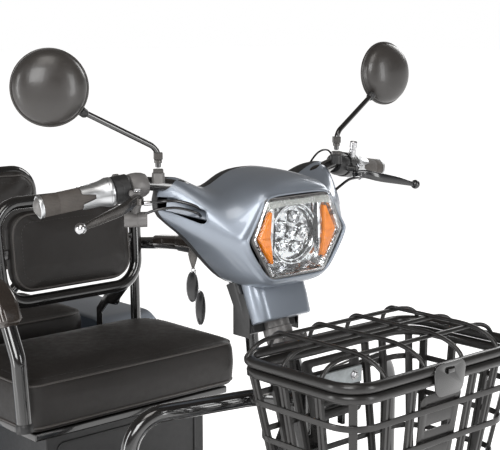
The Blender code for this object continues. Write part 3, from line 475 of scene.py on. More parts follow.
def sweep(name, path, section, sizes=None, cyclic=False, up=None, tips=0.0, smooth=40):
    """A section carried along a path: up keeps its Y side up, and tips rounds the ends by that length."""
    path = [Vector(p) for p in path]
    sizes = list(sizes) if sizes else [1.0] * len(path)
    if tips:
        first = (path[0] - path[1]).normalized()
        last = (path[-1] - path[-2]).normalized()
        turns = [rad(a) for a in (85, 62, 38, 16)]
        head = [(path[0] + first * tips * (math.sin(a) - 1), sizes[0] * math.cos(a)) for a in turns]
        tail = [
            (path[-1] + last * tips * (math.sin(a) - 1), sizes[-1] * math.cos(a))
            for a in reversed(turns)
        ]
        inner = [
            (p, s)
            for p, s in zip(path, sizes)
            if (p - path[0]).length > tips * 0.999 and (p - path[-1]).length > tips * 0.999
        ]
        path, sizes = map(list, zip(*head, *inner, *tail))
    count = len(path)
    tangents = []
    for i in range(count):
        before = path[i - 1] if cyclic else path[max(i - 1, 0)]
        after = path[(i + 1) % count] if cyclic else path[min(i + 1, count - 1)]
        tangents.append((after - before).normalized())
    side = (up.cross(tangents[0]) if up else tangents[0].orthogonal()).normalized()
    verts = []
    for i, (place, tangent, size) in enumerate(zip(path, tangents, sizes)):
        if up:
            side = up.cross(tangent).normalized()
        elif i:
            side = tangents[i - 1].rotation_difference(tangent) @ side
        lift = tangent.cross(side)
        verts += [place + side * (x * size) + lift * (y * size) for x, y in section]
    n = len(section)
    faces = []
    for i in range(count if cyclic else count - 1):
        j = (i + 1) % count
        faces += [(i * n + k, i * n + (k + 1) % n, j * n + (k + 1) % n, j * n + k) for k in range(n)]
    if not cyclic:
        faces.append(tuple(range(n))[::-1])
        faces.append(tuple(range((count - 1) * n, count * n)))
    return piece(name, verts, faces, smooth)


def aim(direction):
    """A rotation that takes +Z to the direction and keeps X level where it can."""
    direction = Vector(direction).normalized()
    up = Y_AXIS if abs(direction.z) > 0.999 else Z_AXIS
    side = up.cross(direction).normalized()
    return Matrix((side, direction.cross(side), direction)).transposed()


def lathe(name, profile, place, direction, steps=64, smooth=35):
    """A profile of (radius, height) turned about a line. One that is off the axis at both ends closes."""
    basis, place = aim(direction), Vector(place)
    verts, rings = [], []
    for radius, height in profile:
        if radius < 1e-6:
            rings.append([len(verts)] * steps)
            verts.append(place + basis @ Vector((0, 0, height)))
            continue
        rings.append(list(range(len(verts), len(verts) + steps)))
        for i in range(steps):
            angle = 2 * math.pi * i / steps
            verts.append(place + basis @ Vector((radius * math.cos(angle), radius * math.sin(angle), height)))
    pairs = list(zip(rings, rings[1:]))
    if len(set(rings[0])) > 1 and len(set(rings[-1])) > 1:
        pairs.append((rings[-1], rings[0]))
    faces = []
    for low, high in pairs:
        for i in range(steps):
            j = (i + 1) % steps
            face = list(dict.fromkeys((low[i], low[j], high[j], high[i])))
            if len(face) > 2:
                faces.append(face)
    return piece(name, verts, faces, smooth)


def arc(radius, start, end, count, centre=(0.0, 0.0), tall=None):
    """Points along an arc, from start to end degrees."""
    tall = radius if tall is None else tall
    return [
        (
            centre[0] + radius * math.cos(rad(start + (end - start) * i / count)),
            centre[1] + tall * math.sin(rad(start + (end - start) * i / count)),
        )
        for i in range(count + 1)
    ]


def loft(name, rings, closed=True, smooth=40):
    """A skin through rings with the same number of points. Closed ends are capped."""
    n = len(rings[0])
    verts = [p for ring in rings for p in ring]
    faces = [
        (i * n + k, i * n + (k + 1) % n, (i + 1) * n + (k + 1) % n, (i + 1) * n + k)
        for i in range(len(rings) - 1)
        for k in range(n)
    ]
    if closed:
        faces += [tuple(range(n))[::-1], tuple(range(len(verts) - n, len(verts)))]
    return piece(name, verts, faces, smooth)


def plate(name, outline, thickness, place, basis, edge=0.0008, smooth=35):
    """A flat outline in the basis's XY plane, centred on its thickness, with softened edges."""
    place = Vector(place)
    rings = [
        [place + basis @ Vector((p[0], p[1], level)) for p in outline]
        for level in (-thickness / 2, thickness / 2)
    ]
    obj = loft(name, rings, True, smooth)
    return soften(obj, edge, 2, 40, smooth) if edge else obj


def block(name, low, high, edge=0.002, segments=3):
    low, high = Vector(low), Vector(high)
    outline = [(low.x, low.y), (high.x, low.y), (high.x, high.y), (low.x, high.y)]
    made = plate(name, outline, high.z - low.z, (0, 0, (low.z + high.z) / 2), Matrix.Identity(3), 0)
    return soften(made, edge, segments)


SIDE_VIEW = Matrix(((0, 0, 1), (1, 0, 0), (0, 1, 0)))  # an outline of (Y, Z), with its thickness along X
FRONT_VIEW = Matrix(((1, 0, 0), (0, 0, -1), (0, 1, 0)))  # an outline of (X, Z), with its thickness along Y


def rod(name, start, end, radius, end_radius=None, sides=32, edge=0.0006):
    """A round bar with softened ends."""
    start, end = Vector(start), Vector(end)
    length = (end - start).length
    last = radius if end_radius is None else end_radius
    profile = [
        (0, 0), (radius - edge, 0), (radius, edge), (last, length - edge), (last - edge, length),
        (0, length)
    ]
    return lathe(name, profile, start, end - start, sides)


def bolt(place, direction, radius=0.005, height=0.004, domed=False, washer=True):
    """A hexagon or domed bolt head on its washer, standing on a surface."""
    direction = Vector(direction).normalized()
    place = Vector(place)
    parts = []
    if washer:
        profile = [(0, 0), (radius * 1.45, 0), (radius * 1.5, 0.0003), (radius * 1.45, 0.0010), (0, 0.0010)]
        parts.append(lathe("washer", profile, place, direction, 32))
        place = place + direction * 0.0010
    if domed:
        dome = [(radius * math.cos(rad(a)), height * math.sin(rad(a))) for a in range(0, 76, 15)]
        socket = [(radius * 0.45, height * 0.94), (radius * 0.42, height * 0.45), (0, height * 0.40)]
        parts.append(lathe("head", [(0, 0), *dome, *socket], place, direction, 32))
    else:
        profile = [(0, 0), (radius, 0), (radius, height * 0.85), (radius * 0.88, height), (0, height)]
        parts.append(lathe("head", profile, place, direction, 6, 20))
    return merge("bolt", parts)


def mirrored(point, side):
    return Vector((point[0] * side, point[1], point[2]))


# Steering
STEER, STEER_UP = joint_at("steering_turn"), joint_axis("steering_turn")
STEER_AHEAD = Vector((0, -STEER_UP.z, STEER_UP.y))
STEER_BASIS = Matrix((X_AXIS, -STEER_AHEAD, STEER_UP)).transposed()
BAR_END, BAR_IN = joint_at("throttle_twist"), -joint_axis("throttle_twist")
BAR_R = 0.011
SPLIT_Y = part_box("cowl_rear_cover")[0].y
LENS_LOW, LENS_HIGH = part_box("headlight_lens")
FACE = Vector((0, LENS_LOW.y, LENS_LOW.z + 0.488 * (LENS_HIGH.z - LENS_LOW.z))) + Vector((0, 0.008, -0.0085))


def on_steerer(up, ahead=0.0, x=0.0):
    return STEER + STEER_UP * up + STEER_AHEAD * ahead + Vector((x, 0, 0))


def bar_point(distance, side):
    return mirrored(BAR_END + BAR_IN * distance, -side)


def both_sides(half):
    """A half outline from top centre to bottom centre, made whole by its mirror image."""
    return half + [Vector((-p[0], *p[1:])) for p in reversed(half[1:-1])]


# Each ray of the cowl runs from its bezel back to its split, by two shaping points.
# They go down the left half.
COWL_RAYS = (
    ((0.000, -0.4380, 0.9900), (0.000, -0.4360, 1.0080), (0.000, -0.3980, 1.0190), (0.000, 1.0190)),
    ((0.036, -0.4380, 0.9900), (0.036, -0.4360, 1.0070), (0.034, -0.3980, 1.0175), (0.032, 1.0175)),
    ((0.064, -0.4375, 0.9885), (0.066, -0.4330, 1.0020), (0.060, -0.3930, 1.0110), (0.056, 1.0105)),
    ((0.076, -0.4360, 0.9810), (0.083, -0.4290, 0.9910), (0.082, -0.3880, 0.9990), (0.078, 0.9980)),
    ((0.086, -0.4340, 0.9640), (0.097, -0.4230, 0.9740), (0.104, -0.3800, 0.9870), (0.100, 0.9890)),
    ((0.098, -0.4320, 0.9440), (0.114, -0.4180, 0.9560), (0.128, -0.3720, 0.9880), (0.126, 1.0020)),
    ((0.109, -0.4300, 0.9280), (0.128, -0.4120, 0.9420), (0.152, -0.3700, 1.0000), (0.156, 1.0150)),
    ((0.1145, -0.4290, 0.9200), (0.136, -0.4070, 0.9340), (0.168, -0.3620, 0.9980), (0.184, 1.0160)),
    ((0.1140, -0.4293, 0.9130), (0.137, -0.4080, 0.9240), (0.172, -0.3640, 0.9580), (0.198, 0.9780)),
    ((0.1090, -0.4305, 0.9020), (0.131, -0.4120, 0.9080), (0.160, -0.3680, 0.9290), (0.190, 0.9500)),
    ((0.100, -0.4320, 0.8880), (0.118, -0.4170, 0.8890), (0.134, -0.3760, 0.9010), (0.143, 0.9210)),
    ((0.087, -0.4340, 0.8700), (0.099, -0.4240, 0.8650), (0.110, -0.3820, 0.8720), (0.111, 0.8850)),
    ((0.072, -0.4360, 0.8520), (0.080, -0.4310, 0.8430), (0.088, -0.3900, 0.8420), (0.081, 0.8540)),
    ((0.056, -0.4375, 0.8450), (0.060, -0.4350, 0.8340), (0.064, -0.4000, 0.8250), (0.057, 0.8320)),
    ((0.030, -0.4380, 0.8450), (0.030, -0.4360, 0.8330), (0.030, -0.4000, 0.8220), (0.030, 0.8200)),
    ((0.000, -0.4380, 0.8450), (0.000, -0.4360, 0.8330), (0.000, -0.4000, 0.8220), (0.000, 0.8180)),
)
BEZEL_STEPS = ((0.914, -0.4290), (0.916, -0.4375), (0.928, -0.4398), (0.955, -0.4410), (0.984, -0.4398))


def ray_point(ray, t):
    start, first, second, end = ray
    a, b, c, d = Vector(start), Vector(first), Vector(second), Vector((end[0], SPLIT_Y, end[1]))
    return a * (1 - t) ** 3 + b * (3 * t * (1 - t) ** 2) + c * (3 * t**2 * (1 - t)) + d * t**3


def scaled_ring(ring, share, y):
    return [Vector((p[0] * share, y, FACE.z + (p[2] - FACE.z) * share)) for p in ring]


ARM_OUT = Vector((0.599, 0.801, 0))  # along the front face of the left arm, towards its end
ARM_NORMAL = Vector((0.801, -0.599, 0))
ARM_FOOT = Vector((0.150, -0.386, 0))
POCKET = (
    (0.054, 0.985), (0.000, 0.966), (-0.003, 0.948), (0.004, 0.9435), (0.054, 0.960), (0.090, 0.968),
    (0.090, 0.985)
)


def arm_basis(side):
    out = mirrored(ARM_OUT, side)
    return Matrix((out, Z_AXIS, mirrored(ARM_NORMAL, side))).transposed()


def make_cowl():
    front = both_sides([ray_point(ray, 0) for ray in COWL_RAYS])
    rings = [scaled_ring(front, share, y) for share, y in BEZEL_STEPS]
    for t in (0.0, 0.10, 0.25, 0.42, 0.60, 0.78, 0.92, 1.0):
        rings.append(both_sides([ray_point(ray, t) for ray in COWL_RAYS]))
    shell = loft("cowl_skin", rings, False)
    shell = subdivide(shell, 2)
    wall = shell.modifiers.new("wall", "SOLIDIFY")
    wall.thickness = 0.0022
    wall.offset = -1.0
    settle(shell)
    for side in (-1, 1):
        basis = arm_basis(side)
        outline = rounded(POCKET, 0.007, 5)
        outline = [(p[0], p[1]) for p in outline]
        cutter = plate(
            "pocket_cutter", outline, 0.045, mirrored(ARM_FOOT, side) + basis.col[2] * 0.0125, basis, 0
        )
        boolean(shell, cutter, smooth=40)
    soft = shell.modifiers.new("soft_edges", "BEVEL")
    soft.width, soft.segments, soft.angle_limit, soft.limit_method = 0.0007, 2, rad(50), "ANGLE"
    own(settle(shell, 40), "steering", "body_paint", "cowl_shell")
    tree = BVHTree.FromObject(shell, bpy.context.evaluated_depsgraph_get())
    floors, shade_sheets, rims = [], [], []
    for side in (-1, 1):
        basis = arm_basis(side)
        foot = mirrored(ARM_FOOT, side)

        def inside(u, z, depth):
            return foot + basis.col[0] * u + Vector((0, 0, z)) - basis.col[2] * depth

        floor = [
            [
                inside(u, low, 0.004), inside(u, high, 0.017), inside(u, high - 0.003, 0.018),
                inside(u, low - 0.002, 0.006)
            ]
            for u, low, high in (
                (-0.004, 0.9500, 0.9600), (0.010, 0.9535, 0.9680), (0.040, 0.9590, 0.9820),
                (0.066, 0.9640, 0.9870)
            )
        ]
        floors.append(loft("pocket_floor", floor, True))
        back = [
            (-0.020, 0.942), (-0.015, 0.962), (0.0, 0.970), (0.045, 0.984), (0.060, 0.986), (0.060, 0.955)
        ]
        # A near-black sheet at the pocket's back is painted shade for the deep recess.
        shade_sheets.append(plate("pocket_back", back, 0.001, foot - basis.col[2] * 0.0225, basis, 0))
        edge = [p for p in rounded(POCKET[:5], 0.0075, 6)]
        route = []
        for p in edge:
            if p[0] > 0.046:
                continue
            hit = tree.ray_cast(inside(p[0], p[1], -0.03), -basis.col[2])
            near = tree.find_nearest(inside(p[0], p[1], 0.0))
            spot = near[0] if hit[0] is None else hit[0]
            route.append(near[0] if (spot - near[0]).length > 0.012 else spot)
        rims.append(sweep("pocket_rim", curve_path(route, 60), circle(0.0011, 10), tips=0.001))
    own(merge("cowl_pocket_floors", floors), "steering", "body_paint")
    own(merge("cowl_pocket_backs", shade_sheets), "steering", "void")
    own(merge("cowl_pocket_rims", rims), "steering", "body_paint")
    make_dash()


def make_dash():
    """The cowl's rear half, with its display, key lock and screws."""
    ends = both_sides([Vector((ray[3][0], SPLIT_Y, ray[3][1])) for ray in COWL_RAYS])
    middle = Vector((0, 0, 0.935))

    def ring(share, y, drop=0.0):
        return [
            Vector((p.x * share, y, middle.z + (p.z - middle.z) * share - drop)) for p in ends
        ]

    skin = loft(
        "dash_skin",
        [
            ring(1.0, SPLIT_Y + 0.0006), ring(1.0, SPLIT_Y + 0.010), ring(0.975, SPLIT_Y + 0.022),
            ring(0.90, SPLIT_Y + 0.031), ring(0.78, SPLIT_Y + 0.034), ring(0.60, SPLIT_Y + 0.034),
            ring(0.30, SPLIT_Y + 0.034)
        ],
        False
    )
    bm = bmesh.new()
    bm.from_mesh(skin.data)
    bmesh.ops.holes_fill(
        bm,
        edges=[e for e in bm.edges if e.is_boundary and e.verts[0].co.y > SPLIT_Y + 0.03], sides=0
    )
    bmesh.ops.recalc_face_normals(bm, faces=bm.faces)
    bm.to_mesh(skin.data)
    bm.free()
    subdivide(skin, 1)
    wall = skin.modifiers.new("wall", "SOLIDIFY")
    wall.thickness, wall.offset = 0.0022, -1.0
    own(settle(skin, 40), "steering", "black_plastic", "cowl_rear_cover")
    rear = SPLIT_Y + 0.034
    lock = joint_at("key_turn")
    collar = [
        (0, 0), (0.0140, 0), (0.0145, 0.002), (0.0125, 0.0045), (0.0095, 0.0050), (0.0085, 0.0035),
        (0, 0.0035)
    ]
    own(lathe("key_lock", collar, (lock.x, rear - 0.0005, lock.z), Y_AXIS, 48), "steering", "steel")
    rim = rounded([(0.060, 0.022), (-0.060, 0.022), (-0.052, -0.022), (0.052, -0.022)], 0.010, 5)
    glass = rounded([(0.054, 0.017), (-0.054, 0.017), (-0.047, -0.017), (0.047, -0.017)], 0.007, 5)
    place = Vector((0, rear + 0.0010, 0.975))
    own(plate("display_frame", rim, 0.006, place, FRONT_VIEW, 0.0015), "steering", "gloss_black")
    own(
        plate("display_glass", glass, 0.002, place + Vector((0, 0.0033, 0)), FRONT_VIEW, 0.0005),
        "steering", "display"
    )
    knob = [(0, 0), (0.011, 0), (0.0115, 0.002), (0.0095, 0.009), (0.0080, 0.0105), (0, 0.0108)]
    own(lathe("light_knob", knob, (0.070, rear, lock.z), Y_AXIS, 40), "steering", "gloss_black")
    screws = [
        bolt((x, rear + 0.0004, z), Y_AXIS, 0.0028, 0.0014, True, False)
        for x, z in ((-0.095, 0.962), (0.095, 0.962), (-0.050, 0.868), (0.050, 0.868))
    ]
    own(merge("dash_screws", screws), "steering", "steel")


HALF_TOP, HALF_LOW = 0.0625, 0.0655


def hexagon(share, y, radius=0.008, steps=5):
    """The lens outline about the middle of the face, with round corners."""
    wide, top, low = LENS_HIGH.x, HALF_TOP, -HALF_LOW
    corners = [
        (-0.71 * wide, top), (0.71 * wide, top), (wide, 0), (0.58 * wide, low), (-0.58 * wide, low),
        (-wide, 0)
    ]
    ring = rounded([Vector(c) * share for c in corners], radius * share, steps)
    return [Vector((p[0], y, FACE.z + p[1])) for p in ring]


def make_headlight():
    y = FACE.y
    seal = [
        hexagon(s, y + d)
        for s, d in ((0.992, 0.0085), (1.022, 0.0085), (1.022, 0.0020), (0.992, 0.0020))
    ]
    own(loft("lens_seal", seal + seal[:1], False), "steering", "grey_plastic")
    outer = [
        (1.0, 0.0060), (1.0, 0.0015), (0.985, -0.0010), (0.955, -0.0024), (0.80, -0.0040), (0.45, -0.0052),
        (0.12, -0.0056)
    ]
    inner = [(s * 0.985, d + 0.0016) for s, d in reversed(outer)]
    skins = [loft("lens", [hexagon(s, y + d) for s, d in outer + inner], True)]
    lens = own(skins[0], "steering", "clear_lens", "headlight_lens")
    lens.visible_shadow = False
    rim = [
        hexagon(s, y + d)
        for s, d in ((0.972, 0.0080), (0.972, 0.0030), (0.945, 0.0022), (0.932, 0.0034), (0.932, 0.0080))
    ]
    own(loft("lens_inner_rim", rim + rim[:1], False), "steering", "reflector")

    back = y + 0.034
    wide = [
        hexagon(s, y + d, 0.008 + 0.004 * i)
        for i, (s, d) in enumerate(((0.930, 0.0050), (0.900, 0.0130), (0.80, 0.0220)))
    ]
    hole = 0.0550
    ring = []
    for p in wide[-1]:
        out = Vector((p.x, 0, p.z - FACE.z)).normalized()
        ring.append(Vector((out.x * hole, y + 0.0240, FACE.z + out.z * hole)))
    lip = [Vector((p.x * 0.985, p.y + 0.010, FACE.z + (p.z - FACE.z) * 0.985)) for p in ring]
    pan = loft("reflector_pan", [*wide, ring, lip], False, 12)
    wall = pan.modifiers.new("wall", "SOLIDIFY")
    wall.thickness, wall.offset = 0.0010, -1.0
    own(settle(pan, 12), "steering", "reflector", "headlight_reflector")
    # A near-black disc behind the reflector is painted shade at the lamp's back.
    disc = lathe(
        "lamp_back", [(0, 0), (0.064, 0), (0.064, 0.001), (0, 0.001)], (0, back + 0.004, FACE.z), Y_AXIS, 48
    )
    own(disc, "steering", "void")
    front = Vector((0, y + 0.0115, FACE.z))
    barrel = [(0.0515, 0.024), (0.0515, 0.0015), (0.0503, 0), (0.0480, 0), (0.0469, 0.0020), (0.0452, 0.0035),
              (0.0430, 0.0035), (0.0413, 0.0090), (0.0413, 0.024)]
    parts = [lathe("barrel", barrel, front, Y_AXIS, 72)]
    spots = [(0, 0)] + [
        (0.0265 * math.sin(rad(72 * i + 12)), 0.0265 * math.cos(rad(72 * i + 12)))
        for i in range(5)
    ]
    bowl = [(0.0105, 0), (0.0098, 0.0012), (0.0082, 0.0050), (0.0050, 0.0090), (0.0022, 0.0100), (0, 0.0100),
            (0, 0.0108), (0.0056, 0.0100), (0.0105, 0.0040)]
    beads = []
    for x, z in spots:
        place = front + Vector((x, 0.0040, z))
        parts.append(lathe("bowl", bowl[::-1], place, Y_AXIS, 40, 20))
        dome = [
            (0, -0.0048),
            *[(0.0042 * math.sin(rad(a)), -0.0048 * math.cos(rad(a))) for a in (20, 40, 60, 80)],
            (0.0042, 0.001), (0, 0.001)
        ]
        beads.append(lathe("bead", dome, place + Vector((0, 0.0092, 0)), Y_AXIS, 24))
    web = [(0.0435, 0.0080), (0.0, 0.0080), (0.0, 0.0092), (0.0435, 0.0092)]
    parts.append(lathe("web", web, front + Vector((0, 0.0022, 0)), Y_AXIS, 60))
    own(merge("projector", parts, 25), "steering", "reflector")
    shine = own(merge("projector_beads", beads), "steering", "clear_lens")
    shine.visible_shadow = False
    for side, word in ((1, "left"), (-1, "right")):
        low, high = (corner + Vector((0, 0.008, -0.0085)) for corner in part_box(f"{word}_indicator"))
        inner_x, outer_x = side * 0.0575, side * 0.0850
        corners = [
            (inner_x, high.z + 0.003), (outer_x, FACE.z), (inner_x - side * 0.004, low.z - 0.006),
            (inner_x + side * 0.004, FACE.z)
        ]
        outline = [(p[0], p[1]) for p in rounded(corners, 0.0025, 3)]
        lamp = plate(f"{word}_indicator_lens", outline, 0.008, (0, y + 0.0060, 0), FRONT_VIEW, 0.0010)
        own(lamp, "steering", "amber_lens", f"{word}_indicator")
        ribs = []
        for i in range(7):
            z = FACE.z + (i - 3) * 0.0125
            reach = (1 - abs(z - FACE.z) / (high.z - FACE.z)) * abs(outer_x - inner_x) * 0.8
            if reach > 0.004:
                x = (inner_x + side * 0.0045, inner_x + side * reach)
                ribs.append(
                    block(
                        "rib", (min(x), y + 0.0008, z - 0.0006), (max(x), y + 0.0026, z + 0.0006), 0.0003, 2
                    )
                )
        own(merge(f"{word}_indicator_ribs", ribs), "steering", "amber_lens")
        strut = [(side * 0.048, 0.965), (side * 0.056, 0.969), (side * 0.060, 0.889), (side * 0.052, 0.886)]
        own(
            plate(f"{word}_lamp_strut", strut, 0.012, (0, y + 0.0130, 0), FRONT_VIEW, 0.0015), "steering",
            "reflector"
        )
        # A thin near-black plate on the strut is painted shade for a slot.
        slot = arc(0.0050, 0, 360, 24, (side * 0.0475, FACE.z + 0.002), 0.024)[:-1]
        own(
            plate(f"{word}_lamp_slot", slot, 0.002, (0, y + 0.0118, 0), FRONT_VIEW, 0.0004), "steering",
            "void"
        )
    top = FACE.z + HALF_TOP
    visor = [
        (-0.068, top - 0.004), (0.068, top - 0.004), (0.076, top - 0.020),
        *arc(0.075, 0, -180, 16, (0, top - 0.020), -0.006)[1:-1], (-0.076, top - 0.020)
    ]
    band = plate("lens_visor", visor, 0.0012, (0, y + 0.0045, 0), FRONT_VIEW, 0.0003)
    own(band, "steering", "visor_lens").visible_shadow = False


def make_neck():
    def section(up, half, ahead, behind, corner):
        flat = rounded([(half, -behind), (half, ahead), (-half, ahead), (-half, -behind)], corner, 6)
        return [on_steerer(up, p[1], p[0]) for p in flat]

    front = loft(
        "neck_front",
        [
            section(0.016, 0.0570, 0.0365, 0.004, 0.018), section(0.018, 0.0590, 0.0385, 0.004, 0.020),
            section(0.050, 0.0610, 0.0400, 0.004, 0.022), section(0.094, 0.0610, 0.0390, 0.004, 0.022)
        ]
    )
    own(soften(front, 0.0012, 3), "steering", "body_paint", "neck_cover")
    rear = loft(
        "neck_rear",
        [
            section(0.004, 0.0520, -0.0050, 0.028, 0.008), section(0.020, 0.0550, -0.0050, 0.032, 0.009),
            section(0.094, 0.0580, -0.0050, 0.038, 0.010)
        ]
    )
    own(soften(rear, 0.0012, 3), "steering", "black_plastic")
    ribs = [
        block(
            "rib",
            on_steerer(0.0, -0.020, side * 0.0545 - 0.001) - Vector((0, 0.010, 0)),
            on_steerer(0.078, -0.020, side * 0.0560 + 0.001) + Vector((0, 0.002, 0)), 0.0006, 2
        )
        for side in (-1, 1)
    ]
    own(merge("neck_ribs", ribs), "steering", "black_plastic")
    collar = [
        (0.0170, -0.045), (0.0235, -0.045), (0.0245, -0.043), (0.0245, -0.034), (0.0228, -0.0325),
        (0.0228, -0.008), (0.0245, -0.006), (0.0245, 0.004), (0.0225, 0.0055), (0.0225, 0.030),
        (0.0170, 0.030)
    ]
    own(lathe("collar", collar, STEER, STEER_UP, 64), "steering", "grey_plastic", "stem_collar")
    lugs, bolts = [], []
    for side in (-1, 1):
        place = on_steerer(-0.020, 0.022, side * 0.021)
        outline = rounded([(0.013, 0.011), (-0.013, 0.011), (-0.013, -0.011), (0.013, -0.011)], 0.004, 4)
        lugs.append(plate("lug", [(p[0], p[1]) for p in outline], 0.024, place, STEER_BASIS, 0.0012))
        for up in (-0.006, 0.006):
            bolts.append(
                bolt(place + STEER_AHEAD * 0.0115 + STEER_UP * up, STEER_AHEAD, 0.0036, 0.0036, True, True)
            )
    own(merge("collar_clamp", lugs), "steering", "grey_plastic")
    own(merge("collar_bolts", bolts), "steering", "steel")
    cup = [(0.0180, -0.0495), (0.0280, -0.0495), (0.0290, -0.0480), (0.0280, -0.0465), (0.0180, -0.0465)]
    own(lathe("bearing_cup", cup, STEER, STEER_UP, 56), "steering", "steel")


def make_handlebar():
    half = [
        bar_point(-0.002, 1), bar_point(0.180, 1), Vector((0.150, -0.326, 0.998)),
        Vector((0.100, -0.330, 0.972)), Vector((0.045, -0.316, 0.944))
    ]
    path = rounded(half + [mirrored(p, -1) for p in reversed(half)], 0.04, 8)
    post = rod("post", on_steerer(0.0190, 0), on_steerer(0.200, 0), 0.0160, sides=40)
    own(merge("bar", [sweep("tube", path, circle(BAR_R, 28)), post]), "steering", "black_paint", "handlebar")


def make_grips():
    for side, word, node in ((-1, "right", "throttle_grip"), (1, "left", "left_grip")):
        body = "throttle" if side < 0 else "steering"
        inward = (bar_point(0.1, side) - bar_point(0, side)).normalized()
        ribs = 40
        section = []
        for i in range(ribs * 4):
            lift = 0.00035 if i % 4 in (1, 2) else 0.0
            angle = 2 * math.pi * i / (ribs * 4)
            section.append(((0.0166 + lift) * math.cos(angle), (0.0166 + lift) * math.sin(angle)))
        stations = [
            (0.0055, 0.99), (0.0075, 1.0), (0.030, 1.0), (0.0305, 0.985), (0.0325, 0.985), (0.033, 1.0),
            (0.070, 1.005), (0.104, 1.012), (0.108, 1.06), (0.1165, 1.10), (0.1175, 1.09)
        ]
        sleeve = sweep(
            f"{word}_grip_sleeve", [bar_point(d, side) for d, s in stations], section,
            [s for d, s in stations], smooth=30
        )
        own(sleeve, body, "grip_rubber", node)
        end = [
            (0, -0.0065), (0.0060, -0.0062), (0.0105, -0.0040), (0.0142, -0.0005), (0.0150, 0.0015),
            (0.0150, 0.0050), (0, 0.0050)
        ]
        own(lathe(f"{word}_bar_end", end, bar_point(0, side), inward, 48), body, "grey_plastic")
        band = [
            (0.0165, -0.0004), (0.0178, 0.0004), (0.0182, 0.0020), (0.0178, 0.0056), (0.0150, 0.0060),
            (0.0150, 0.0)
        ]
        own(lathe(f"{word}_end_band", band, bar_point(0, side), inward, 56), body, "alloy")
        make_grip_crown(word, side, body, inward)


def make_grip_crown(word, side, body, inward):
    """The bright flared collar of a grip, with four prongs that reach out over the rubber."""
    basis = aim(inward)
    steps, base = 96, bar_point(0, side)
    rings = []
    for level in range(6):
        ring = []
        for i in range(steps):
            angle = 2 * math.pi * i / steps
            wave = abs(((i + 0.5) / (steps / 4)) % 1.0 - 0.5) * 2
            reach = 0.088 - 0.021 * min(1.0, max(0.0, (0.78 - wave) / 0.34))
            d = reach + (0.1120 - reach) * level / 5
            r = 0.0181 + 0.0042 * max(0.0, (d - 0.094) / 0.018) ** 1.4
            ring.append(base + basis @ Vector((r * math.cos(angle), r * math.sin(angle), d)))
        rings.append(ring)
    crown = loft(f"{word}_grip_crown", rings, False)
    wall = crown.modifiers.new("wall", "SOLIDIFY")
    wall.thickness, wall.offset = 0.0011, 1.0 if side < 0 else -1.0
    own(settle(crown, 35), body, "alloy")
    flange = [
        (0.0190, 0.1125), (0.0226, 0.1125), (0.0231, 0.1135), (0.0231, 0.1180), (0.0226, 0.1190),
        (0.0190, 0.1190)
    ]
    own(lathe(f"{word}_grip_flange", flange, base, inward, 64), body, "alloy")


def make_housings():
    for side, word in ((-1, "right"), (1, "left")):
        inward = (bar_point(0.1, side) - bar_point(0, side)).normalized()
        start = bar_point(0, side)
        drum = [
            (0.0115, 0.1205), (0.0212, 0.1205), (0.0224, 0.1217), (0.0224, 0.1310), (0.0219, 0.1314),
            (0.0219, 0.1322), (0.0224, 0.1326), (0.0224, 0.1450), (0.0212, 0.1466), (0.0115, 0.1466)
        ]
        own(
            lathe(f"{word}_switch_drum", drum, start, inward, 72), "steering", "black_plastic",
            f"{word}_switch_housing"
        )
        clamp = [
            (0.0113, 0.1480), (0.0175, 0.1480), (0.0205, 0.1500), (0.0212, 0.1560), (0.0208, 0.1640),
            (0.0190, 0.1720), (0.0160, 0.1775), (0.0113, 0.1780)
        ]
        parts = [lathe("clamp", clamp, start, inward, 64)]
        foot = joint_at(f"{word}_mirror_swivel")
        parts.append(
            lathe(
                "boss",
                [(0, -0.024), (0.0105, -0.024), (0.0100, -0.0085), (0.0092, -0.0078), (0, -0.0078)], foot,
                Z_AXIS, 40
            )
        )
        ear = joint_at(f"{word}_brake_pull") + Vector((0, 0.004, 0.0105))
        arm = curve_path(
            [bar_point(0.160, side) + Vector((0, -0.010, 0)), ear + Vector((side * -0.010, 0.014, 0)), ear],
            12
        )
        parts.append(sweep("ear", arm, bar_section(0.020, 0.010, 0.003), up=Z_AXIS, tips=0.006))
        own(merge(f"{word}_lever_clamp", parts), "steering", "grey_plastic" if side < 0 else "black_plastic")
        pin = joint_at(f"{word}_brake_pull")
        own(
            bolt(pin + Vector((0, 0, 0.0150)), Z_AXIS, 0.0050, 0.0035), "steering", "steel"
        ).name = f"{word}_lever_bolt"
        stack = []
        for low, high, radius in (
            (-0.0080, -0.0020, 0.0088), (0.0075, 0.0125, 0.0062), (0.0130, 0.0240, 0.0080)
        ):
            profile = [
                (0, low), (radius * 0.94, low), (radius, low + 0.0006), (radius, high - 0.0006),
                (radius * 0.94, high), (0, high)
            ]
            stack.append(lathe("nut", profile, foot, Z_AXIS, 6 if radius != 0.0062 else 32, 25))
        own(merge(f"{word}_mirror_nuts", stack, 25), f"{word}_mirror_arm", "steel_dark")
        if side > 0:
            adjuster = bar_point(0.137, side) + Vector((0.0, -0.020, 0.016))
            barrel = [
                (0, 0), (0.0062, 0), (0.0062, 0.013), (0.0050, 0.0135), (0.0050, 0.0160), (0.0068, 0.0165),
                (0.0068, 0.0265), (0.0058, 0.0280), (0, 0.0280)
            ]
            own(
                lathe("cable_adjuster", barrel, adjuster, Vector((0.05, -0.1, 1)), 20, 25), "steering",
                "steel"
            )
        seat = bar_point(0.134, side)
        out = Vector((0, 0.75, 0.66)).normalized()
        rocker = block("rocker", (-0.006, -0.0035, -0.010), (0.006, 0.0035, 0.010), 0.0018)
        rocker.matrix_world = Matrix.Translation(
            seat + out * 0.0215
        ) @ aim(out).to_4x4() @ Matrix.Rotation(rad(90), 4, "X")
        own(settle(rocker), "steering", "grey_plastic").name = f"{word}_rocker_switch"
    own_button()


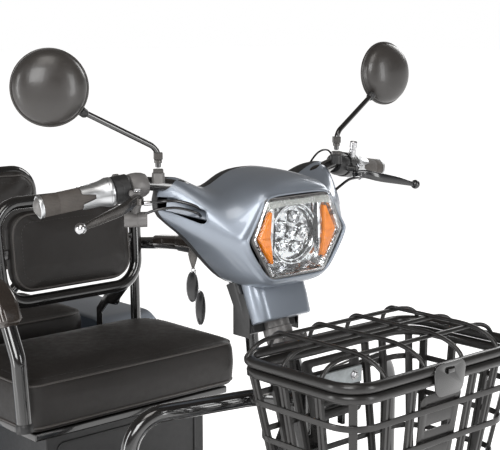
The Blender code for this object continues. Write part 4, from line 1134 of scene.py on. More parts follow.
def own_button():
    low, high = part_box("horn_button")
    middle = (low + high) / 2
    radius = (high.x - low.x) / 2
    deep = high.y - low.y
    profile = [
        (0, 0), (radius * 0.96, 0), (radius, 0.0006), (radius, deep - 0.0012),
        (radius * 0.86, deep - 0.0002), (radius * 0.5, deep - 0.0006), (0, deep - 0.0009)
    ]
    own(
        lathe("horn_push", profile, (middle.x, low.y, middle.z), Y_AXIS, 40), "horn", "grey_plastic",
        "horn_button"
    )


def make_levers():
    for side, word in ((-1, "right"), (1, "left")):
        pin = joint_at(f"{word}_brake_pull")
        tip = Vector((side * 0.373, -0.367, 0.960))
        route = [
            pin + Vector((-side * 0.012, 0.004, 0)), pin + Vector((side * 0.010, -0.004, 0)),
            pin.lerp(tip, 0.30) + Vector((0, -0.008, 0.001)),
            pin.lerp(tip, 0.62) + Vector((0, -0.006, 0.001)), pin.lerp(tip, 0.86) + Vector((0, -0.002, 0)),
            tip
        ]
        path = curve_path(route, 36)
        sizes = []
        for i in range(len(path)):
            t = i / (len(path) - 1)
            sizes.append(0.82 + 0.30 * math.sin(math.pi * min(1.0, t * 1.25)) - 0.42 * max(0.0, t - 0.45))
        section = [
            tuple(p)
            for p in rounded(
                [
                    (0.0040, 0.0072), (-0.0040, 0.0072), (-0.0048, 0), (-0.0040, -0.0072),
                    (0.0040, -0.0072), (0.0048, 0)
                ],
                0.0026, 4
            )
        ]
        blade = sweep("blade", path, section, sizes, up=Z_AXIS, tips=0.004)
        hub = lathe(
            "hub",
            [
                (0.0036, -0.0068), (0.0092, -0.0068), (0.0098, -0.0060), (0.0098, 0.0035), (0.0092, 0.0043),
                (0.0036, 0.0043)
            ],
            pin, Z_AXIS, 40
        )
        own(
            merge(f"{word}_lever_blade", [blade, hub]), f"{word}_lever",
            "steel_dark" if side < 0 else "gloss_black", f"{word}_brake_lever"
        )
        ball = lathe(
            "ball",
            [
                (0, -0.0086),
                *[(0.0086 * math.cos(rad(a)), 0.0086 * math.sin(rad(a))) for a in range(-80, 81, 10)],
                (0, 0.0086)
            ],
            tip, (tip - pin), 40
        )
        ball.name = f"{word}_lever_ball"
        own(ball, f"{word}_lever", "steel" if side < 0 else "gloss_black")


def make_mirrors():
    for word in ("right", "left"):
        centre, axis = joint_at(f"{word}_mirror_tilt"), joint_axis(f"{word}_mirror_tilt")
        foot = joint_at(f"{word}_mirror_swivel")
        back = (axis.cross(Z_AXIS).normalized() + Z_AXIS * 0.06).normalized()
        radius = 0.0585
        dome = [(0, 0.0215)] + [
            (0.0552 * math.sin(rad(a)), -0.0058 + 0.0273 * math.cos(rad(a)))
            for a in range(6, 91, 6)
        ]
        rim = [
            (0.0556, -0.0064), (0.0562, -0.0062), (0.0578, -0.0066), (radius, -0.0078), (radius, -0.0105),
            (0.0576, -0.0118), (0.0560, -0.0114), (0.0548, -0.0100), (0.0548, -0.0083), (0, -0.0083)
        ]
        own(
            lathe(f"{word}_mirror_back", dome + rim, centre, back, 112, 50), f"{word}_mirror",
            "mirror_shell", f"{word}_mirror_head"
        )
        glass = [(0, -0.0084), (0.0545, -0.0084), (0.0545, -0.0098), (0.035, -0.0103), (0, -0.0106)]
        own(
            lathe(f"{word}_mirror_face", glass, centre, back, 96), f"{word}_mirror", "mirror_glass",
            f"{word}_mirror_glass"
        )
        joint = centre - back * 0.004 + (foot - centre).normalized() * (radius + 0.004)
        path = rounded([foot, foot + Vector((0, 0, 0.030)), joint], 0.040, 8)
        own(
            sweep(f"{word}_mirror_rod", path, circle(0.0047, 20), tips=0.002), f"{word}_mirror_arm",
            "black_paint", f"{word}_mirror_stem"
        )
        inward = (centre - joint).normalized()
        boot = [
            (0, -0.010), (0.0052, -0.010), (0.0070, -0.007), (0.0074, 0.0012), (0.0062, 0.0028), (0, 0.0030)
        ]
        own(lathe(f"{word}_mirror_socket", boot, joint, inward, 32), f"{word}_mirror_arm", "black_plastic")


def make_cables():
    """Cables that stay between the levers, the socket and the cowl, so they turn with the bars."""
    brake = [
        (-0.244, -0.350, 0.983), (-0.222, -0.362, 0.985), (-0.196, -0.366, 0.984), (-0.168, -0.372, 0.976),
        (-0.148, -0.372, 0.966)
    ]
    lead = [
        (-0.233, -0.332, 0.962), (-0.215, -0.347, 0.970), (-0.190, -0.364, 0.972), (-0.165, -0.380, 0.964),
        (-0.147, -0.372, 0.954)
    ]
    for name, route, radius, side in (
        ("right_brake_cable", brake, 0.0026, 1), ("socket_lead", lead, 0.0022, 1),
        ("left_brake_cable", brake, 0.0026, -1)
    ):
        own(
            sweep(name, curve_path([mirrored(p, side) for p in route], 40), circle(radius, 14), tips=0.001),
            "steering", "gloss_black"
        )
    start = bar_point(0.150, 1)
    loop = [
        start + Vector((-0.004, 0.012, 0.010)), start + Vector((-0.020, 0.014, 0.026)),
        start + Vector((-0.050, 0.008, 0.024)), start + Vector((-0.080, 0.000, 0.006)),
        start + Vector((-0.094, -0.004, -0.012))
    ]
    own(sweep("switch_lead", curve_path(loop, 36), circle(0.0018, 12), tips=0.001), "steering", "gloss_black")
    collars = [
        lathe(
            "ferrule", [(0, 0), (0.0036, 0), (0.0040, 0.001), (0.0036, 0.012), (0, 0.012)],
            mirrored(brake[0], s), Vector((s * 0.8, -0.4, 0)), 24
        )
        for s in (1, -1)
    ]
    own(merge("cable_ferrules", collars), "steering", "steel")


def make_socket():
    middle = Vector((-0.239, -0.322, 0.954))
    away = Vector((-0.80, 0.60, 0.0)).normalized()
    profile = [
        (0, -0.018), (0.0112, -0.018), (0.0120, -0.0170), (0.0120, -0.0040), (0.0117, -0.0036),
        (0.0117, -0.0028), (0.0120, -0.0024), (0.0120, 0.0165), (0.0112, 0.0180), (0.0095, 0.0180),
        (0.0090, 0.0172), (0.0088, 0.0060), (0, 0.0060)
    ]
    shell = lathe("shell", profile, middle, away, 56)
    strap = sweep(
        "strap",
        [
            middle + Vector((0, 0, 0.008)), middle + Vector((0.002, -0.002, 0.018)),
            middle + Vector((0.004, -0.004, 0.030))
        ],
        bar_section(0.012, 0.010, 0.003), [1.15, 0.8, 0.9], up=Y_AXIS, tips=0.001
    )
    own(merge("socket_shell", [shell, strap]), "steering", "grey_plastic", "accessory_socket")
    pins = [
        rod(
            "pin", middle + away * 0.006 + offset, middle + away * 0.0145 + offset, 0.0012, sides=16,
            edge=0.0003
        )
        for offset in (
            Vector((0, 0, 0.0040)), Vector((0.0024, 0.0032, -0.0020)), Vector((-0.0024, -0.0032, -0.0020))
        )
    ]
    own(merge("socket_pins", pins), "steering", "steel")


def make_keys():
    low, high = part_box("ignition_key")
    middle = (low + high) / 2
    bow = arc(0.0095, 0, 360, 28, (middle.y + 0.003, middle.z), 0.0105)[:-1]
    shank = block(
        "shank", (middle.x - 0.0008, low.y - 0.004, middle.z - 0.0032),
        (middle.x + 0.0008, high.y - 0.012, middle.z + 0.0032), 0.0004
    )
    head = plate("head", bow, 0.0030, (middle.x, 0, 0), SIDE_VIEW, 0.0007)
    own(head, "ignition", "black_plastic").name = "key_head"
    own(shank, "ignition", "steel", "ignition_key").name = "key_shank"
    ring_at = joint_at("fob_swing")
    turn = Matrix.Rotation(rad(-40), 3, "Z") @ FRONT_VIEW
    flat = turn.col[0]

    def drop(down, aside=0.0):
        return ring_at + flat * aside - Z_AXIS * down

    def ring(name, middle, radius, wire, normal):
        basis = aim(normal)
        path = [
            middle + basis @ Vector((radius * math.cos(rad(a)), radius * math.sin(rad(a)), 0))
            for a in range(0, 360, 15)
        ]
        return sweep(name, path, circle(wire, 8), cyclic=True, up=Vector(normal))

    rings = [
        ring("ring", drop(0.004), 0.0085, 0.0007, flat), ring("link", drop(0.0505), 0.0040, 0.0006, Y_AXIS),
        ring("link", drop(0.0550, 0.004), 0.0040, 0.0006, flat),
        ring("link", drop(0.0860, 0.0085), 0.0040, 0.0006, X_AXIS)
    ]
    own(merge("key_rings", rings), "fob_set", "steel")
    fobs = (
        (
            "teardrop",
            [
                (0, 0.020), (0.0065, 0.016), (0.0085, 0.008), (0.0060, -0.004), (0.0015, -0.018),
                (-0.0015, -0.018), (-0.0060, -0.004), (-0.0085, 0.008), (-0.0065, 0.016)
            ],
            0.031, 0.0, "steel_dark"
        ),
        ("short_tag", arc(0.0098, 0, 360, 28, (0, 0), 0.0265)[:-1], 0.0800, -0.0015, "gloss_black"),
        ("long_tag", arc(0.0082, 0, 360, 28, (0, 0), 0.0300)[:-1], 0.1170, 0.0120, "gloss_black")
    )
    for index, (name, outline, down, aside, look) in enumerate(fobs):
        outline = rounded(outline, 0.003, 3) if name == "teardrop" else outline
        shape = plate(
            f"{name}_body", [(p[0], p[1]) for p in outline], 0.0034, drop(down, aside), turn, 0.0012
        )
        own(shape, "fob_set", look, *(("key_fobs",) if index == 0 else ()))
        if name != "teardrop":
            edge = [drop(down, aside) + turn @ Vector((p[0], p[1], 0)) for p in outline]
            own(
                sweep(f"{name}_edge", edge, circle(0.0010, 8), cyclic=True, up=turn.col[2]), "fob_set",
                "steel"
            )


surface(
    "steel_dark", "steel", (0.085, 0.080, 0.076), 0.25, 0.85, 0.3, 0.10, 40.0,
    (("soft", 600.0, 0.05, 0.0003),)
)
make_cowl()
make_headlight()
make_neck()
make_handlebar()
make_grips()
make_housings()
make_levers()
make_mirrors()
make_cables()
make_socket()
make_keys()


# Basket
B_LOW, B_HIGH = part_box("basket")
B_HIGH = B_HIGH + Vector((0.006, 0.001, -0.005))  # the round rims stand a little outside the plain CAD wall
LID_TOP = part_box("basket_lid")[1].z - 0.004
RIM_R, WIRE_R = 0.0080, 0.0034


def basket_box(z, inset=0.0):
    """Half width, front and rear of the basket at a height: it narrows towards its floor."""
    share = (B_HIGH.z - z) / (B_HIGH.z - B_LOW.z)
    return B_HIGH.x - 0.038 * share - inset, B_LOW.y + 0.032 * share + inset, B_HIGH.y - 0.042 * share - inset


def basket_ring(z, inset, corner=0.045):
    half, low, high = basket_box(z, inset)
    return loop_path([(half, low, z), (half, high, z), (-half, high, z), (-half, low, z)], corner, 8)


def wall_point(wall, share, z, inset):
    half, low, high = basket_box(z, inset)
    middle, deep = (low + high) / 2, (high - low) / 2
    if wall in ("front", "rear"):
        return Vector((share * half, low if wall == "front" else high, z))
    return Vector((half if wall == "left" else -half, middle + share * deep, z))


def wall_bar(wall, share, width=0.0125):
    """A grooved flat bar from the rim down a wall and round into the floor."""
    along = X_AXIS if wall in ("front", "rear") else Y_AXIS
    w, t = width / 2, 0.0030
    section = [
        (t, w), (t, w * 0.36), (t - 0.0016, w * 0.22), (t - 0.0016, -w * 0.22), (t, -w * 0.36), (t, -w),
        (-t, -w), (-t, -w * 0.36), (0.0016 - t, -w * 0.22), (0.0016 - t, w * 0.22), (-t, w * 0.36), (-t, w)
    ]
    top, low = wall_point(
        wall, share, B_HIGH.z - 0.004, 0.0062
    ), wall_point(wall, share, B_LOW.z + 0.004, 0.0062)
    inner = wall_point(wall, share, B_LOW.z + 0.004, 0.040)
    path = rounded([top, low, inner], 0.022, 6)
    return sweep("bar", path, section, up=along, smooth=30)


def basket_corner_bar(sx, front):
    half, low, high = basket_box(B_HIGH.z - 0.004, 0.0190)
    half_low, low_low, high_low = basket_box(B_LOW.z + 0.006, 0.0190)
    top = Vector((sx * half, low if front else high, B_HIGH.z - 0.004))
    foot = Vector((sx * half_low, low_low if front else high_low, B_LOW.z + 0.006))
    along = Vector((1, sx if front else -sx, 0)).normalized()
    section = bar_section(0.0055, 0.0125, 0.0015)
    return sweep("bar", [top, top.lerp(foot, 0.5), foot], section, up=along)


def make_basket():
    parts = [sweep("rim", basket_ring(B_HIGH.z - RIM_R, RIM_R), circle(RIM_R, 20), cyclic=True, up=Z_AXIS)]
    for drop in (0.052, 0.108, 0.164):
        z = B_HIGH.z - drop
        parts.append(
            sweep(
                "band", basket_ring(z, 0.0024), bar_section(0.0030, 0.0095, 0.0010), cyclic=True, up=Z_AXIS
            )
        )
    for wall, shares in (("front", (-0.63, -0.36, 0.36, 0.63)), ("rear", (-0.66, -0.44, 0.44, 0.66)),
                         ("left", (-0.44, 0.18, 0.70)), ("right", (-0.44, 0.18, 0.70))):
        parts += [wall_bar(wall, share) for share in shares]
    parts += [basket_corner_bar(sx, front) for sx in (-1, 1) for front in (True, False)]
    base = B_LOW.z + 0.004
    parts.append(
        sweep("floor_ring", basket_ring(base, 0.020, 0.035), circle(0.0040, 14), cyclic=True, up=Z_AXIS)
    )
    half, low, high = basket_box(base, 0.020)
    parts += [
        rod("wire", (x, low, base), (x, high, base), 0.0022, sides=14)
        for x in np.linspace(-0.81, 0.81, 13) * half
    ]
    middle, deep = (low + high) / 2, (high - low) / 2
    parts += [
        rod(
            "wire", (-half, middle + s * deep, base - 0.002), (half, middle + s * deep, base - 0.002),
            0.0026, sides=14
        )
        for s in (-0.7, -0.25, 0.25, 0.7)
    ]
    own(merge("basket_frame", parts), "chassis", "basket_paint", "basket")
    panels = []
    for wall, half_wide, top, foot in (("front", 0.046, 0.030, 0.165), ("rear", 0.066, 0.020, 0.120)):
        centre = wall_point(wall, 0, B_HIGH.z - (top + foot) / 2, 0.0075)
        lean = wall_point(wall, 0, B_HIGH.z - top, 0.0075) - wall_point(wall, 0, B_HIGH.z - foot, 0.0075)
        tall = lean.normalized()
        basis = Matrix((X_AXIS, tall, X_AXIS.cross(tall))).transposed()
        h = (foot - top) / 2
        outline = rounded(
            [(half_wide, h), (-half_wide, h), (-half_wide * 0.86, -h), (half_wide * 0.86, -h)], 0.010, 5
        )
        face = plate("panel", [(p[0], p[1]) for p in outline], 0.0022, centre, basis, 0)
        count = 4 if wall == "front" else 5
        for i in range(count):
            level = h * (0.66 - 1.32 * i / (count - 1))
            slot = [
                (p[0], p[1])
                for p in rounded(
                    [
                        (half_wide * 0.66, level + 0.0042), (-half_wide * 0.66, level + 0.0042),
                        (-half_wide * 0.66, level - 0.0042), (half_wide * 0.66, level - 0.0042)
                    ],
                    0.0041, 5
                )
            ]
            boolean(face, plate("slot", slot, 0.02, centre, basis, 0))
        panels.append(soften(face, 0.0006, 2))
    own(merge("basket_panels", panels), "chassis", "basket_paint")
    make_basket_mount()
    make_basket_lid()


def make_basket_mount():
    low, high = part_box("basket_bracket")
    mid = high.z - 0.006
    face = block("bracket", (low.x, high.y - 0.0045, low.z + 0.02), (high.x, high.y - 0.0005, high.z), 0.0012)
    arms = [
        block(
            "arm", (x - 0.003, low.y + 0.022, low.z + 0.006), (x + 0.003, high.y - 0.003, high.z - 0.004),
            0.001
        )
        for x in (-0.040, 0.040)
    ]
    own(merge("basket_holder", [face, *arms]), "chassis", "black_paint", "basket_bracket")
    bar = block(
        "basket_inner_strap", (-0.060, wall_point("rear", 0, mid, 0.012).y - 0.004, mid - 0.014),
        (0.060, wall_point("rear", 0, mid, 0.012).y, mid + 0.014), 0.0012
    )
    bolts = [
        bolt((x, wall_point("rear", 0, mid, 0.016).y, mid), -Y_AXIS, 0.0055, 0.0045)
        for x in (-0.042, 0.042)
    ]
    own(bar, "chassis", "galvanised")
    own(merge("basket_bolts", bolts), "chassis", "steel")


def make_basket_lid():
    z = B_HIGH.z + RIM_R + 0.0003
    half, low, high = basket_box(B_HIGH.z, RIM_R)
    plane = LID_TOP - WIRE_R

    def arch(start, end, level, first, last):
        """A wire that rises from the rim in a quarter ellipse at each end."""
        across = (end - start).normalized()
        rise = Vector((0, 0, level - start.z))
        turns = [rad(a) for a in range(0, 91, 10)]
        path = [start + across * first * (1 - math.cos(a)) + rise * math.sin(a) for a in turns]
        path += [end - across * last * (1 - math.cos(a)) + rise * math.sin(a) for a in reversed(turns)]
        return sweep("wire", path, circle(WIRE_R, 14), up=across.cross(Z_AXIS))

    parts = [sweep("rim", basket_ring(z, RIM_R), circle(RIM_R, 20), cyclic=True, up=Z_AXIS)]
    parts += [
        arch(Vector((x, low, z)), Vector((x, high, z)), plane, 0.075, 0.025)
        for x in (-0.127, -0.042, 0.042, 0.127)
    ]
    parts += [
        arch(Vector((-half, y, z)), Vector((half, y, z)), plane - 0.0050, 0.048, 0.048)
        for y in (-0.532, -0.607, -0.685)
    ]
    own(merge("lid_grid", parts), "lid", "basket_paint", "basket_lid")
    tab = rounded([(0.038, 0.016), (-0.038, 0.016), (-0.030, -0.034), (0.030, -0.034)], 0.014, 6)
    slot = rounded([(0.010, 0.008), (-0.010, 0.008), (-0.010, -0.001), (0.010, -0.001)], 0.003, 4)
    place = Vector((0, B_LOW.y - 0.0022, z - 0.006))
    latch = plate("lid_latch", [(p[0], p[1]) for p in tab], 0.0026, place, FRONT_VIEW, 0)
    boolean(latch, plate("latch_slot", [(p[0], p[1]) for p in slot], 0.02, place, FRONT_VIEW, 0))
    own(soften(latch, 0.0006, 2), "lid", "black_paint")
    keeper = block(
        "latch_keeper", (-0.0065, B_LOW.y - 0.0065, z - 0.0062), (0.0065, B_LOW.y + 0.004, z + 0.0005),
        0.0010
    )
    own(keeper, "chassis", "black_paint")
    hinge_y, hinge_z = joint_at("basket_lid_lift").y + 0.005, joint_at("basket_lid_lift").z
    for name, body, spans in (
        ("lid_hinge_leaves", "lid", ((0.052, 0.060), (0.070, 0.078))),
        ("basket_hinge_leaves", "chassis", ((0.0605, 0.0695),))
    ):
        leaves = []
        for side in (-1, 1):
            for a, b in spans:
                leaves.append(
                    rod(
                        "barrel", (side * a, hinge_y, hinge_z), (side * b, hinge_y, hinge_z), 0.0058,
                        sides=24
                    )
                )
        own(merge(name, leaves), body, "black_paint")


# Cushions
def plan(low, high, corner, inset=0.0, steps=6):
    """A rounded rectangle drawn in by the inset. A pair of corners is the front one and the rear one."""
    front, rear = corner if isinstance(corner, tuple) else (corner, corner)
    points = [(high[0] - inset, low[1] + inset), (high[0] - inset, high[1] - inset),
              (low[0] + inset, high[1] - inset), (low[0] + inset, low[1] + inset)]
    near = rounded(points, max(front - inset * 0.5, 0.012), steps)
    far = rounded(points, max(rear - inset * 0.5, 0.012), steps)
    per = steps + 1
    return near[:per] + far[per : 3 * per] + near[3 * per :]


def swell(obj, held, cap, voxel=0.006):
    """Fills a cushion by a cloth simulation.

    held gives how firmly a point is pinned, and cap the furthest it moves.
    """
    remesh = obj.modifiers.new("voxels", "REMESH")
    remesh.mode = "VOXEL"
    remesh.voxel_size = voxel
    settle(obj, 180)
    mesh = obj.data
    before = [v.co.copy() for v in mesh.vertices]
    firm = [held(p) for p in before]
    group = obj.vertex_groups.new(name="held")
    for i, value in enumerate(firm):
        if value > 0:
            group.add([i], value, "REPLACE")
    cloth = obj.modifiers.new("filling", "CLOTH")
    cloth.settings.use_pressure = True
    cloth.settings.uniform_pressure_force = 4.0
    cloth.settings.effector_weights.gravity = 0.0
    cloth.settings.vertex_group_mass = "held"
    cloth.settings.quality = 5
    cloth.point_cache.frame_start, cloth.point_cache.frame_end = 1, 20
    for frame_number in range(1, 21):
        SCENE.frame_set(frame_number)
    graph = bpy.context.evaluated_depsgraph_get()
    after = [v.co.copy() for v in obj.evaluated_get(graph).data.vertices]
    obj.modifiers.clear()
    obj.vertex_groups.clear()
    SCENE.frame_set(1)
    for vert, start, end in zip(mesh.vertices, before, after):
        move = end - start
        if move.length > cap:
            move *= cap / move.length
        vert.co = start + move
    smooth = obj.modifiers.new("even", "SMOOTH")
    smooth.factor, smooth.iterations = 0.5, 4
    settle(obj, 180)
    return subdivide(obj, 1, 180)


def slab(name, low, high, corner, levels, place=(0, 0, 0), basis=Matrix.Identity(3)):
    """A cushion's starting shape: a rounded rectangle drawn in at each level."""
    place = Vector(place)
    rings = [
        [place + basis @ Vector((p[0], p[1], level)) for p in plan(low, high, corner, inset)]
        for level, inset in levels
    ]
    return loft(name, rings, True, 180)


def on_skin(tree, points, lift=0.0):
    out = []
    for point in points:
        spot, normal, _, _ = tree.find_nearest(point)
        out.append(spot + normal * lift)
    return out


def evened(points, step):
    """Points a step apart along a closed path."""
    ring = [*points, points[0]]
    lengths = [0.0]
    for a, b in zip(ring, ring[1:]):
        lengths.append(lengths[-1] + (b - a).length)
    count = max(8, int(lengths[-1] / step))
    out, k = [], 0
    for i in range(count):
        target = lengths[-1] * i / count
        while lengths[k + 1] < target:
            k += 1
        t = (target - lengths[k]) / max(lengths[k + 1] - lengths[k], 1e-9)
        out.append(ring[k].lerp(ring[k + 1], t))
    return out


def piping(name, tree, points, radius=0.0022):
    path = on_skin(tree, evened(points, 0.006), radius * 0.25)
    for _ in range(3):
        path = [(path[i - 1] + p * 2 + path[(i + 1) % len(path)]) / 4 for i, p in enumerate(path)]
    return sweep(name, path, circle(radius, 10), cyclic=True)


def stitches(name, tree, points, step=0.0075, length=0.0046, radius=0.00055):
    spots = on_skin(tree, evened(points, step), radius * 0.3)
    parts = []
    for i, spot in enumerate(spots):
        ahead = (spots[(i + 1) % len(spots)] - spot).normalized()
        verts, faces = [], []
        side = ahead.orthogonal().normalized()
        lift = ahead.cross(side)
        for k, (t, r) in enumerate(((-0.5, 0.3), (-0.32, 1.0), (0.32, 1.0), (0.5, 0.3))):
            for j in range(6):
                a = math.pi * j / 3
                verts.append(
                    spot + ahead * length * t + (side * math.cos(a) + lift * math.sin(a)) * radius * r
                )
        for k in range(3):
            faces += [
                (k * 6 + j, k * 6 + (j + 1) % 6, k * 6 + 6 + (j + 1) % 6, k * 6 + 6 + j)
                for j in range(6)
            ]
        faces += [tuple(range(6))[::-1], tuple(range(18, 24))]
        parts.append((verts, faces))
    verts = [v for part, _ in parts for v in part]
    faces = [[24 * n + i for i in face] for n, (_, part) in enumerate(parts) for face in part]
    return piece(name, verts, faces)


def upholster(obj, node, body, rings, place=(0, 0, 0), basis=Matrix.Identity(3)):
    """Adds piping and a stitched row to a cushion, along rings given as (low, high, corner, level, kind)."""
    tree = BVHTree.FromObject(obj, bpy.context.evaluated_depsgraph_get())
    place = Vector(place)
    own(obj, body, "vinyl", node)
    for index, (low, high, corner, level, kind) in enumerate(rings):
        points = [place + basis @ Vector((p[0], p[1], level)) for p in plan(low, high, corner)]
        make, look = (piping, "vinyl_piping") if kind == "piping" else (stitches, "stitch")
        own(make(f"{obj.name}_{kind}_{index}", tree, points), body, look)


def make_seat_slab(name, node, body, front_corner, rear_corner, cap):
    """A seat cushion on its base, with a crowned top, piping round both edges and a stitched row."""
    low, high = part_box(node)
    base, top = low.z + 0.002, high.z - 0.008
    tall = top - base
    a, b = (low.x + 0.005, low.y + 0.006), (high.x - 0.005, high.y - 0.006)
    levels = (
        (base, 0.010), (base + 0.006, 0.003), (base + tall * 0.45, 0.0), (top - 0.022, 0.002),
        (top - 0.013, 0.005), (top - 0.006, 0.011), (top - 0.002, 0.021), (top, 0.050),
        (top + 0.0015, 0.095), (top + 0.002, 0.130),
    )
    seat = slab(name, a, b, (front_corner, rear_corner), levels)
    edge = top - 0.012

    def held(p):
        if p.z < base + 0.008:
            return 1.0
        return 0.35 if abs(p.z - edge) < 0.006 else 0.0

    swell(seat, held, cap)
    upholster(
        seat, node, body,
        [
            (
                (a[0] + 0.002, a[1] + 0.002), (b[0] - 0.002, b[1] - 0.002), (front_corner, rear_corner),
                edge + 0.004, "piping"
            ),
            (
                (a[0] + 0.018, a[1] + 0.018), (b[0] - 0.018, b[1] - 0.018), (front_corner, rear_corner),
                top + 0.004, "stitches"
            ),
            (
                (a[0] - 0.002, a[1] - 0.002), (b[0] + 0.002, b[1] + 0.002), (front_corner, rear_corner),
                base + 0.010, "piping"
            ),
        ]
    )


def make_back_pad(name, node, body, centre, basis, half_x, half_y, half_deep, corner):
    low, high = (-half_x, -half_y), (half_x, half_y)
    levels = [
        (half_deep * share, inset)
        for share, inset in (
            (-1.0, 0.034), (-0.95, 0.013), (-0.78, 0.004), (-0.3, 0.0), (0.3, 0.0), (0.72, 0.004),
            (0.93, 0.013), (1.0, 0.034)
        )
    ]
    pad = slab(name, low, high, corner, levels, centre, basis)
    inverse = basis.inverted()

    def held(p):
        return 0.5 if abs((inverse @ (p - centre)).z) < half_deep * 0.35 else 0.0

    swell(pad, held, 0.0065, 0.005)
    rim = 0.0045
    upholster(
        pad, node, body,
        [
            (
                (rim - half_x, rim - half_y), (half_x - rim, half_y - rim), corner, half_deep * 0.78,
                "piping"
            ),
            (
                (rim - half_x, rim - half_y), (half_x - rim, half_y - rim), corner, -half_deep * 0.82,
                "piping"
            ),
            (
                (0.020 - half_x, 0.020 - half_y), (half_x - 0.020, half_y - 0.020), corner - 0.012,
                half_deep * 1.25, "stitches"
            ),
        ],
        centre, basis
    )


def make_front_seat():
    make_seat_slab("seat_upholstery", "seat_cushion", "front_seat", 0.032, 0.075, 0.0060)
    pan_low, pan_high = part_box("seat_frame")
    pan = block("pan", (-0.230, pan_low.y, pan_low.z), (0.230, 0.295, pan_low.z + 0.0150), 0.003)
    hoop_z = pan_high.z
    hoop = rounded(
        [(-0.245, 0.335, hoop_z), (-0.245, 0.330, 0.530), (0.245, 0.330, 0.530), (0.245, 0.335, hoop_z)],
        0.035, 8
    )
    parts = [pan, sweep("hoop", hoop, circle(0.011, 24), tips=0.003)]
    ear = [
        (0.322, 0.520), (0.338, 0.520), (0.338, 0.640), (0.300, 0.684), (0.262, 0.686), (0.256, 0.668),
        (0.264, 0.658), (0.296, 0.656), (0.322, 0.630)
    ]
    ear = [(p[0], p[1]) for p in rounded(ear, 0.008, 4)]
    parts += [plate("ear", ear, 0.005, (side * 0.146, 0, 0), SIDE_VIEW, 0.0008) for side in (-1, 1)]
    parts += [
        block("tongue", (x - 0.020, 0.28, 0.5080), (x + 0.020, 0.332, 0.5200), 0.002)
        for x in (-0.12, 0.12)
    ]
    own(merge("seat_base", parts), "front_seat", "black_paint", "seat_frame")
    bolts = [
        bolt((side * 0.2560, 0.335, 0.768), X_AXIS * side, 0.0070, 0.004, True, False)
        for side in (-1, 1)
    ]
    bolts += [bolt((side * 0.1490, 0.268, 0.672), X_AXIS * side, 0.0060, 0.0045, False) for side in (-1, 1)]
    own(merge("seat_bolts", bolts), "front_seat", "steel")


LEAN = rad(6)
BACK_LOW, BACK_TOP = 0.7125, 0.9075


def back_place(x, z):
    return Vector((x, 0.212 + (z - BACK_LOW) * math.tan(LEAN), z))


def make_front_backrest():
    up = Vector((0, math.sin(LEAN), math.cos(LEAN)))
    basis = Matrix((X_AXIS, up, X_AXIS.cross(up))).transposed()
    centre = back_place(0, (BACK_LOW + BACK_TOP) / 2)
    loop = loop_path(
        [
            back_place(0.160, BACK_LOW), back_place(0.170, BACK_TOP), back_place(-0.170, BACK_TOP),
            back_place(-0.160, BACK_LOW)
        ],
        0.055, 10
    )
    parts = [sweep("loop", loop, circle(0.0125, 28), cyclic=True, up=basis.col[2])]
    arm = [(0.203, 0.716), (0.226, 0.724), (0.281, 0.682), (0.279, 0.664), (0.262, 0.660)]
    parts += [
        plate(
            "arm", [(p[0], p[1]) for p in rounded(arm, 0.008, 4)], 0.006, (side * 0.138, 0, 0), SIDE_VIEW,
            0.0010
        )
        for side in (-1, 1)
    ]
    own(merge("backrest_hoop", parts), "front_backrest", "black_paint", "backrest_frame")
    make_back_pad(
        "backrest_upholstery", "backrest_cushion", "front_backrest", centre, basis, 0.1425, 0.0805, 0.0195,
        0.042
    )
    clips = [
        block(
            "clip", (side * 0.146 - 0.014, centre.y - 0.004, centre.z - 0.010),
            (side * 0.146 + 0.014, centre.y + 0.004, centre.z + 0.010), 0.002
        )
        for side in (-1, 1)
    ]
    own(merge("backrest_clips", clips), "front_backrest", "black_paint")


def make_armrests():
    for side, word in ((1, "left"), (-1, "right")):
        x = side * 0.2735
        bends = [
            (x, 0.352, 0.7660), (x, 0.200, 0.7860), (x, 0.042, 0.7880), (x, -0.020, 0.6700),
            (x, -0.034, 0.5450)
        ]
        path = rounded(bends, 0.060, 10)
        own(
            sweep(f"{word}_armrest_bar", path, circle(0.014, 28), tips=0.004), f"{word}_armrest",
            "black_paint", f"{word}_armrest_tube"
        )
        spine = rounded(
            [(x, 0.290, 0.7790), (x, 0.200, 0.7880), (x, 0.040, 0.7900), (x, 0.004, 0.7250)], 0.050, 12
        )
        sizes = [0.86 + 0.30 * (i / (len(spine) - 1)) ** 1.5 for i in range(len(spine))]
        outline = rounded(
            [
                (0.0200, -0.012), (0.0215, 0.004), (0.0150, 0.0190), (-0.0150, 0.0190), (-0.0215, 0.004),
                (-0.0200, -0.012), (-0.0130, -0.0165), (0.0130, -0.0165)
            ],
            0.009, 4
        )
        hood = sweep(
            f"{word}_armrest_hood", spine, [(p[1], p[0]) for p in outline], sizes, up=X_AXIS, tips=0.014
        )
        own(hood, f"{word}_armrest", "bronze_plastic", f"{word}_armrest_pad")
        pivot = joint_at(f"{word}_armrest_lift")
        own(
            bolt(pivot + X_AXIS * side * 0.0142, X_AXIS * side, 0.0070, 0.0045, False), f"{word}_armrest",
            "steel"
        ).name = f"{word}_armrest_bolt"
        own(
            lathe(
                f"{word}_armrest_foot",
                [
                    (0, -0.002), (0.0150, -0.002), (0.0160, 0.0), (0.0155, 0.012), (0.0142, 0.014),
                    (0, 0.014)
                ],
                bends[-1], Vector(bends[-2]) - Vector(bends[-1]), 40
            ),
            f"{word}_armrest", "black_plastic"
        )


